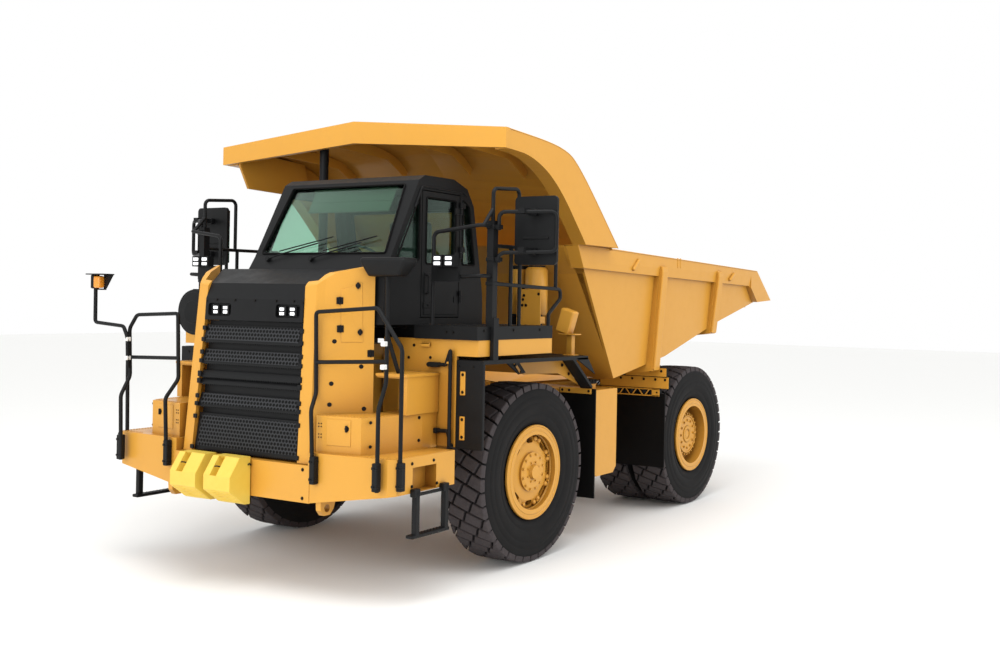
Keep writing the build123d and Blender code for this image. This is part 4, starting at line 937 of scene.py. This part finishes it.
arms = []
blades = []
pivots = bmesh.new()
for pivot_x, tip_x in ((-0.33, 0.27), (0.26, 0.83)):
    pivot = Vector((pivot_x, screen_y(3.1) - 0.03, 3.1))
    tip = Vector((tip_x, screen_y(3.262) - 0.022, 3.262))
    arms.append([pivot, pivot + (tip - pivot) * 0.12 + Vector((0, -0.012, 0.01)), tip])
    ends = ((pivot_x + 0.11, 3.185), (tip_x + 0.16, 3.325))
    blades.append([Vector((x, screen_y(z) - 0.014, z)) for x, z in ends])
    stub(pivots, at((pivot_x, -3.65, 3.1), (0, -1, 0.2)), 0.03, 0.022, 0.05, 20)
rod("wiper_arms", arms, 0.007, chassis_black)
rod("wiper_blades", blades, 0.006, flap_rubber)
piece("wiper_pivots", pivots, chassis_black)

handle = [(1.248, -3.115, 2.78), (1.285, -3.115, 2.79), (1.285, -3.115, 2.96), (1.248, -3.115, 2.97)]
rod("door_grab_handle", [bent(handle, 0.02)], 0.009, chassis_black, "door")
lock = bmesh.new()
slab(lock, (1.248, -3.15, 2.64), (1.262, -3.06, 2.7), 0.006, 3)
stub(lock, at((1.264, -3.085, 2.67), OUTWARD), 0.014, 0.011, 0.014, 18)
slab(lock, (1.249, -3.14, 2.575), (1.256, -2.64, 2.99), 0.004, 2)
piece("door_lock_and_panel", lock, chassis_black, "door")

# wide-angle mirror in a moulded shroud, on its own post in front of the door
shroud = bmesh.new()
rings = []
for left, right, deep, z in (
    (-0.19, 0.176, 0.07, 2.93), (-0.262, 0.262, 0.1, 3.06), (-0.262, 0.262, 0.1, 3.105),
):
    corners = [(left, -deep), (right, -deep), (right, deep), (left, deep)]
    rings.append(new_ring(shroud, [(1.38 + x, -3.8 + y, z) for x, y in corners]))
for lower, upper in zip(rings, rings[1:]):
    wall(shroud, lower, upper)
shroud.faces.new(rings[0])
shroud.faces.new(rings[-1])
soften(shroud, shroud.edges, 0.03, 4, clamp_overlap=True)
piece("wide_mirror_shroud", shroud, chassis_black, smooth=True)
post = [(1.385, -3.64, 2.028), (1.378, -3.8, 2.4), (1.372, -3.8, 2.945)]
rod("wide_mirror_post", [bent(post, 0.08)], 0.02, chassis_black)

# ---------------------------------------------------------------- inside the cab
# Suspension seat in dark vinyl with a headrest, on its base beside a moulded dashboard; a
# steering wheel on its column, and a roller sunblind behind the windscreen.
for name, low, high, puff in (
    ("seat_cushion", (0.33, -2.95, 2.88), (0.83, -2.55, 3.01), 0.045),
    ("seat_backrest", (0.33, -2.64, 3.0), (0.83, -2.5, 3.54), 0.045),
    ("seat_headrest", (0.45, -2.61, 3.59), (0.71, -2.51, 3.75), 0.035),
):
    pad = bmesh.new()
    slab(pad, low, high, puff, 5)
    piece(name, pad, seat_vinyl, smooth=True)
base = bmesh.new()
slab(base, (0.15, -3.4, 2.535), (0.95, -2.5, 2.597), 0.01, 2)
slab(base, (0.38, -2.9, 2.59), (0.78, -2.56, 2.885), 0.03, 3)
slab(base, (0.2, -3.54, 2.535), (0.95, -3.392, 3.07), 0.04, 4)
slab(base, (0.53, -2.6, 3.53), (0.63, -2.52, 3.6), 0.008, 2)
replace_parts(piece("console_and_seat_base", base, seat_vinyl), "cab_interior")

WHEEL_RADIUS = 0.2
hub = Vector((0.58, -3.23, 3.13))
tip_back = Matrix.Translation(hub) @ turn(-35, "X")


def on_rim(angle):
    return tip_back @ Vector((WHEEL_RADIUS * math.cos(angle), WHEEL_RADIUS * math.sin(angle), 0.0))


rim_line = [on_rim(FULL_TURN * i / 24) for i in range(25)]
spokes = [[hub, on_rim(angle)] for angle in (0.4, 2.74, 4.71)]
rod("steering_wheel", [rim_line] + spokes, 0.013, seat_vinyl)
rod("steering_column", [[(0.58, -3.42, 3.0), hub]], 0.03, seat_vinyl)

blind = bmesh.new()
place = Matrix.Translation((0.38, screen_y(3.7) + 0.075, 3.7)) @ Matrix.Rotation(-math.atan(0.5), 4, "X")
add_at(blind, place, slab, (-0.52, -0.004, -0.13), (0.56, 0.004, 0.13), 0.003)
add_at(blind, place, slab, (-0.54, -0.014, 0.12), (0.58, 0.014, 0.148), 0.01, 3)
for z in (-0.126, -0.01):
    add_at(blind, place, slab, (-0.52, -0.008, z), (0.56, 0.008, z + 0.01), 0.003)
piece("roller_sunblind", blind, blind_fabric)

# ---------------------------------------------------------------- mirrors
# Moulded backs on clamped tube loops, with a heated mirror glass on the rearward side.
finish_nodes(chassis_black, "mirrors")
glass = bmesh.new()
clamps = bmesh.new()
slab_pair(glass, (2.045, -2.664, 3.11), (2.49, -2.657, 3.72), 0.004, 2)
for z in (3.205, 3.59):
    slab_pair(clamps, (2.215, -2.78, z - 0.034), (2.305, -2.735, z + 0.034), 0.008, 2)
    bolt_pairs(clamps, [(x, -2.78, z) for x in (2.235, 2.285)], FORWARD, 0.008, 0.012)
slab_pair(clamps, (2.12, -2.732, 3.33), (2.42, -2.719, 3.352), 0.005, 2)
for z in (2.89, 3.12, 3.43):
    slab_pair(clamps, (1.952, -3.093, z - 0.018), (2.043, -3.002, z + 0.018), 0.005)
piece("mirror_glasses", glass, mirror_glass)
piece("mirror_clamps", clamps, chassis_black)

# ---------------------------------------------------------------- air cleaner and exhaust
# Pressed-steel canister with a clamped end cap, and a plain steel stack, both in black.
finish_nodes(chassis_black, "air_cleaner", "exhaust_stack")
CANISTER_X, CANISTER_Z = -1.25, 2.55
cap = bmesh.new()
profile = [(0.229, -3.745), (0.236, -3.745), (0.236, -3.775), (0.222, -3.782), (0.205, -3.794), (0.12, -3.8),
           (0.115, -3.806), (0.0, -3.806)]
line = [(CANISTER_X + radius, y, CANISTER_Z) for radius, y in profile]
turned(cap, line, (CANISTER_X, 0, CANISTER_Z), (0, 1, 0), 48)
for angle in (0.5, 2.6, 4.7):
    place = Matrix.Translation((CANISTER_X, 0.0, CANISTER_Z)) @ Matrix.Rotation(angle, 4, "Y")
    add_at(cap, place, slab, (0.226, -3.785, -0.016), (0.24, -3.72, 0.016), 0.003)
piece("air_cleaner_cap", cap, chassis_black)

# ---------------------------------------------------------------- canopy
# Welded plate in machine enamel over the cab: two sheets that meet at a centre ridge, a deep
# front lip, a box beam down each side and curved ribs below.
def eased(points, rounds=3):
    """Line with its inner corners cut again and again until they are smooth bends."""
    for _ in range(rounds):
        cut = []
        for (y0, z0), (y1, z1) in zip(points, points[1:]):
            cut += [(y0 + (y1 - y0) * share, z0 + (z1 - z0) * share) for share in (0.25, 0.75)]
        points = [points[0]] + cut[1:-1] + [points[-1]]
    return points


LIP_FRONT_Y, LIP_REAR_Y = -2.83, -2.77
side_line = eased([(LIP_FRONT_Y, 4.42), (-1.766, 4.373), (-1.415, 4.171), (-0.581, 3.362)])
mid_line = eased([(LIP_FRONT_Y, 4.594), (-1.766, 4.54), (-1.4, 4.33), (-0.581, 3.362)])
lower_line = eased([(-1.3, 3.363), (-1.32, 3.39), (-1.889, 3.988), (-2.378, 4.208), (LIP_REAR_Y, 4.22)])
beam = [(LIP_REAR_Y - 0.002, 4.41)] + side_line[1:] + lower_line
RIB_DROPS = [(-2.79, 0.0), (-1.766, 0.05), (-1.4, 0.25), (-1.45, 0.36), (-1.78, 0.17), (-2.79, 0.13)]
canopy = bmesh.new()
for side in SIDES:
    for drop in (0.0, 0.025):
        ridge = new_ring(canopy, [(0.0, y, z - drop) for y, z in mid_line])
        edge = new_ring(canopy, [(side * 1.9, y, z - drop) for y, z in side_line])
        for corners in zip(ridge, ridge[1:], edge[1:], edge):
            canopy.faces.new(corners)
    lip = []
    for x, top, low in ((0.0, 4.598, 4.367), (side * 1.976, 4.424, 4.222)):
        section = ((LIP_FRONT_Y, top), (LIP_REAR_Y, top), (LIP_REAR_Y, low), (LIP_FRONT_Y, low))
        lip.append(new_ring(canopy, in_plane(x, section)))
    wall(canopy, *lip)
    canopy.faces.new(lip[1])
    cut_plate(canopy, beam, side * 1.8, side * 1.972, 0.004)
    for x, top in ((0.48, 4.525), (1.25, 4.45)):
        cut_plate(canopy, [(y, top - drop) for y, drop in RIB_DROPS], side * x - 0.01, side * x + 0.01)
stiffener = [(-2.775, 4.4), (-2.775, 4.21), (-2.65, 3.962), (-1.86, 3.942), (-1.73, 4.08), (-1.8, 4.34)]
cut_plate(canopy, stiffener, -1.785, -1.755)
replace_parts(piece("canopy_shell", canopy, machine_enamel, "bed"), "canopy")

# ---------------------------------------------------------------- dump body
# Welded high-strength plate in machine enamel: side posts in folded channel with rounded heads,
# lifting lugs on the rails, and continuous weld beads along the seams.
finish_nodes(machine_enamel, "dump_body", "body_beams")
posts = bmesh.new()
lugs = bmesh.new()
for side in SIDES:
    for rib_y, foot_z in ((0.775, 1.88), (2.51, 2.33)):
        outline = [(1.7, 3.19), (1.85, 3.215), (1.898, 3.19), (1.905, 3.13), (1.806, foot_z),
                   (1.7, foot_z + 0.03)]
        flat = [(-side * x, z) for x, z in outline]
        add_at(posts, QUARTER_TURN, cut_plate, flat, rib_y - 0.075, rib_y + 0.075, 0.014)
    for y, z, steep in ((0.05, 3.195, 42), (2.955, 3.138, 32)):
        place = Matrix.Translation((side * 1.864, y, z)) @ turn(steep, "X")
        add_at(lugs, place, slab, (-0.026, -0.1, -0.024), (0.026, 0.1, 0.024), 0.022, 4)
for y in (1.19, 1.27):
    slab_pair(lugs, (1.845, y, 3.2), (1.868, y + 0.022, 3.33), 0.008, 2)
piece("body_side_posts", posts, machine_enamel, "bed")
piece("rail_lifting_lugs", lugs, machine_enamel, "bed", smooth=True)

# rail ends, and corner plates that close the front wall against the leading edges of the sides
RAIL_END = [(-1.292, 3.366), (-1.08, 3.366), (-1.03, 3.31), (-1.045, 3.23), (-1.12, 3.112), (-1.16, 3.112)]
CORNER_ROWS = [  # (inner x, outer x, y, z), from the foot up
    (1.64, 1.665, -0.12, 1.825), (1.66, 1.786, -0.996, 3.05), (1.66, 1.8, -1.29, 3.358),
]
seams = []
caps = bmesh.new()
gussets = bmesh.new()
for side in SIDES:
    seams.append(in_plane(side * 1.862, [(-1.1, 3.358), (-0.581, 3.358), (3.9, 3.253)]))
    seams.append(in_plane(side * 1.803, [(-1.119, 3.114), (3.65, 3.025)]))
    seams.append(in_plane(side * 1.97, side_line))
    cut_plate(caps, RAIL_END, side * 1.7, side * 1.866, 0.006)
    inner, outer = (
        new_ring(gussets, mirrored(side, [(row[i], *row[2:]) for row in CORNER_ROWS])) for i in (0, 1)
    )
    for corners in zip(inner, inner[1:], outer[1:], outer):
        gussets.faces.new(corners)
bmesh.ops.solidify(gussets, geom=list(gussets.faces), thickness=0.012)
rod("body_weld_beads", seams, 0.006, machine_enamel, "bed")
piece("rail_end_caps", caps, machine_enamel, "bed")
piece("front_wall_corner_plates", gussets, machine_enamel, "bed")

# ---------------------------------------------------------------- rear flap beams
# Two enamelled beams bolted below the body on each side, over a pierced strip whose slanted
# webs part its openings; the rubber flap hangs from it.
finish_nodes(flap_rubber, "rear_flaps")
STRIP_FRONT_Y, STRIP_REAR_Y = 0.864, 0.871
STRIP_BARS = [  # (inner x, outer x, low z, high z): the two ends, then the top and bottom edges
    (0.757, 0.945, 1.536, 1.63), (1.683, 1.797, 1.536, 1.63), (0.757, 1.797, 1.616, 1.632),
    (0.757, 1.797, 1.534, 1.55),
]
WEB_PITCH, WEB_LEAN = 0.095, 0.024
beams = bmesh.new()
slab_pair(beams, (1.292, 0.862, 1.79), (1.893, 0.872, 1.9), 0.005, 2)
slab_pair(beams, (0.905, 0.874, 1.636), (1.92, 0.884, 1.784), 0.005, 2)
for near_x, far_x, low_z, high_z in STRIP_BARS:
    slab_pair(beams, (near_x, STRIP_FRONT_Y, low_z), (far_x, STRIP_REAR_Y, high_z))
for side in SIDES:
    for i in range(9):
        lean = WEB_LEAN if i % 2 else -WEB_LEAN
        place = at((side * (1.0 + WEB_PITCH * (i - 0.5)), 0.8675, 1.583))
        place = place @ Matrix.Rotation(side * math.atan2(2 * lean, 0.062), 4, "Y")
        add_at(beams, place, slab, (-0.008, -0.003, -0.045), (0.008, 0.003, 0.045), 0.002)
piece("rear_flap_beams", beams, machine_enamel, "bed")
spots = [(x, 0.862, 1.862) for x in (1.335, 1.5, 1.66, 1.82)]
spots += [(x, 0.874, 1.75) for x in (1.22, 1.39, 1.56, 1.73, 1.87)]
spots += [(x, 0.87, 1.584) for x in (0.8, 1.76)]
screw_set("rear_flap_screws", (spots, FORWARD, 0.012, 0.01), body="bed")

# ---------------------------------------------------------------- tanks
# Welded tanks either side of the frame, with a pressed panel, a sight-glass pocket and a
# knurled filler cap.
finish_nodes(machine_enamel, "side_tanks")
CAP_X, CAP_Y, CAP_Z, KNURLS = 1.5, -0.37, 1.785, 12
fittings = bmesh.new()
caps = bmesh.new()
slab_pair(fittings, (1.5, -0.662, 0.7), (1.726, -0.64, 1.14), 0.01, 2)
slab_pair(fittings, (1.59, -0.68, 0.93), (1.68, -0.66, 1.09), 0.012, 2)
for side in SIDES:
    stub(caps, at((side * CAP_X, CAP_Y, CAP_Z)), 0.074, 0.066, 0.05, 24)
    for i in range(KNURLS):
        angle = FULL_TURN * i / KNURLS
        spot = (side * CAP_X + 0.071 * math.cos(angle), CAP_Y + 0.071 * math.sin(angle), CAP_Z)
        stub(caps, at(spot), 0.007, 0.006, 0.046)
spots = [(1.53, -0.662, 0.84), (1.635, -0.68, 0.96), (1.635, -0.68, 1.06)]
bolt_pairs(caps, spots, FORWARD, 0.012, 0.01)
piece("tank_sight_pockets", fittings, machine_enamel)
piece("tank_caps", caps, fastener_steel)

# ---------------------------------------------------------------- wheel chocks
# Hollow rotomoulded wedges, hung on the bumper: a rope pocket through the top slope, ribs on
# the biting face, a rope handle and a steel hanging hook.
CHOCK_MIDDLES = (-0.47, -0.01)
CHOCK_STATIONS = (-0.174, -0.095, -0.01, 0.174)
CHOCK_SIDE = [
    (-4.33, 0.785), (-4.509, 0.925), (-4.509, 1.06), (-4.402, 1.228), (-4.266, 1.228), (-4.266, 0.785),
]
CHOCK_SLOPE = 2  # the side's edge that the pocket opens through
chocks = bmesh.new()
hooks = []
for middle in CHOCK_MIDDLES:
    rings = [new_ring(chocks, in_plane(middle + station, CHOCK_SIDE)) for station in CHOCK_STATIONS]
    bays = [wall(chocks, left, right) for left, right in zip(rings, rings[1:])]
    chocks.faces.new(rings[0])
    chocks.faces.new(rings[-1])
    pocket = bays[1][CHOCK_SLOPE]
    bmesh.ops.inset_individual(chocks, faces=[pocket], thickness=0.008)
    sunk = bmesh.ops.extrude_discrete_faces(chocks, faces=[pocket])["faces"][0]
    bmesh.ops.inset_region(chocks, faces=[sunk], thickness=0.01, depth=0.0)
    bmesh.ops.translate(chocks, vec=(0, 0.07, -0.045), verts=sunk.verts)
    for i in range(6):
        place = at((middle, -4.49 + 0.0256 * i, 0.91 - 0.02 * i))
        place = place @ Matrix.Rotation(math.atan2(0.14, 0.179), 4, "X")
        add_at(chocks, place, slab, (-0.165, -0.006, -0.006), (0.165, 0.006, 0.006), 0.004, 2)
    for run in (
        [(-0.11, -4.44, 1.13), (-0.052, -4.472, 1.15), (0.005, -4.44, 1.13)],
        [(0.176, -4.3, 1.15), (0.19, -4.3, 1.175), (0.19, -4.28, 1.14), (0.176, -4.27, 1.15)],
    ):
        hooks.append([(middle + x, y, z) for x, y, z in run])
long_edges = [edge for edge in chocks.edges if edge.calc_length() > 0.18 and len(edge.link_faces) == 2]
soften(chocks, long_edges, 0.008, 2)
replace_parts(piece("chock_wedges", chocks, chock_plastic), "wheel_chocks")
rod("chock_hooks", hooks, 0.006, fastener_steel)

# ---------------------------------------------------------------- chassis and running gear
# Cast and welded frame, axle and struts in machine enamel; forged tie rod; chromed hoist rods.
# The front struts have a gland at the rod's mouth and two clamp bands round the housing.
finish_nodes(
    machine_enamel,
    "frame_rails", "engine_block", "drive_line", "strut_housings", "spindle_left", "spindle_right",
    "rear_axle", "rear_struts", "hoist_barrels",
)
finish_nodes(chassis_black, "tie_rod")
finish_nodes(rod_chrome, "hoist_rods")
STRUT_X = 1.15


def strut_ring(bm, side, section):
    """Ring round a front strut, from a closed section of (radius, z)."""
    x = side * STRUT_X
    line = [(x + radius, FRONT_AXLE_Y, z) for radius, z in section]
    turned(bm, line, (x, FRONT_AXLE_Y, 0), (0, 0, 1), 36, closed=True)


bands = bmesh.new()
for label, side in (("left", 1), ("right", -1)):
    gland = bmesh.new()
    strut_ring(gland, side, [(0.086, 1.255), (0.098, 1.258), (0.098, 1.296), (0.086, 1.299)])
    piece(f"strut_gland_{label}", gland, fastener_steel, f"steer_{label}", smooth=True)
    for low_z, high_z in ((1.318, 1.345), (1.77, 1.796)):
        band = [(0.104, low_z), (0.114, low_z + 0.004), (0.114, high_z - 0.004), (0.104, high_z)]
        strut_ring(bands, side, band)
piece("strut_housing_bands", bands, machine_enamel, smooth=True)

# ---------------------------------------------------------------- fenders
# Bent black plate on rubber-faced brackets: a front leaf, a tread plate over the tyre and a
# narrow sloped tail, with an enamelled splash panel bolted inboard of the wheel.
PLATE_FRONT_Y, PLATE_FALL = -3.229, 0.008  # the tread plate falls to the rear by 8 mm in a metre
PLATE_PLAN = [
    (1.332, PLATE_FRONT_Y), (2.058, PLATE_FRONT_Y), (2.058, -1.345), (1.792, -1.215), (1.332, -1.215),
]
leaves = bmesh.new()
splash = bmesh.new()
for side in SIDES:
    rings = []
    for height in (2.122, 2.16):
        plan = [(x, y, height - PLATE_FALL * (y - PLATE_FRONT_Y)) for x, y in PLATE_PLAN]
        rings.append(new_ring(leaves, mirrored(side, plan)))
    wall(leaves, *rings)
    for ring in rings:
        leaves.faces.new(ring)
    for near_x, far_x, outline in (
        (1.64, 1.792, [(-1.24, 2.142), (-0.792, 1.764), (-0.816, 1.74), (-1.262, 2.108)]),
        (2.04, 2.058, [(-1.6, 2.13), (-1.35, 2.13), (-1.19, 1.938)]),
        (1.629, 1.643, [(-2.33, 2.11), (-2.08, 2.11), (-1.93, 1.968), (-2.06, 1.955)]),
    ):
        cut_plate(leaves, outline, side * near_x, side * far_x)
    panel = [(-2.15, 2.11), (-1.975, 1.95), (-1.3, 1.935), (-0.86, 1.775), (-1.265, 2.102)]
    cut_plate(splash, panel, side * 1.63, side * 1.642)
    strap = [(-2.17, 2.075), (-2.125, 2.075), (-2.01, 1.97), (-2.055, 1.97)]
    cut_plate(splash, strap, side * 1.643, side * 1.651, 0.002)
slab_pair(leaves, (1.762, -3.262, 1.317), (2.078, -3.23, 2.158), 0.006, 2)
slab_pair(leaves, (0.35, -2.698, 2.042), (1.34, -2.622, 2.128), 0.006)
slab_pair(leaves, (0.35, -2.698, 1.292), (0.44, -2.622, 2.05), 0.006)
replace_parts(piece("fender_leaves", leaves, chassis_black), "fenders")
piece("fender_splash_panels", splash, machine_enamel)
spots = in_plane(1.65, [(-1.23, 2.02), (-1.09, 1.915), (-2.135, 2.06), (-2.035, 1.985)])
screw_set("fender_splash_screws", (spots, OUTWARD, 0.013, 0.01))

# ---------------------------------------------------------------- overall bounds
low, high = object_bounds()
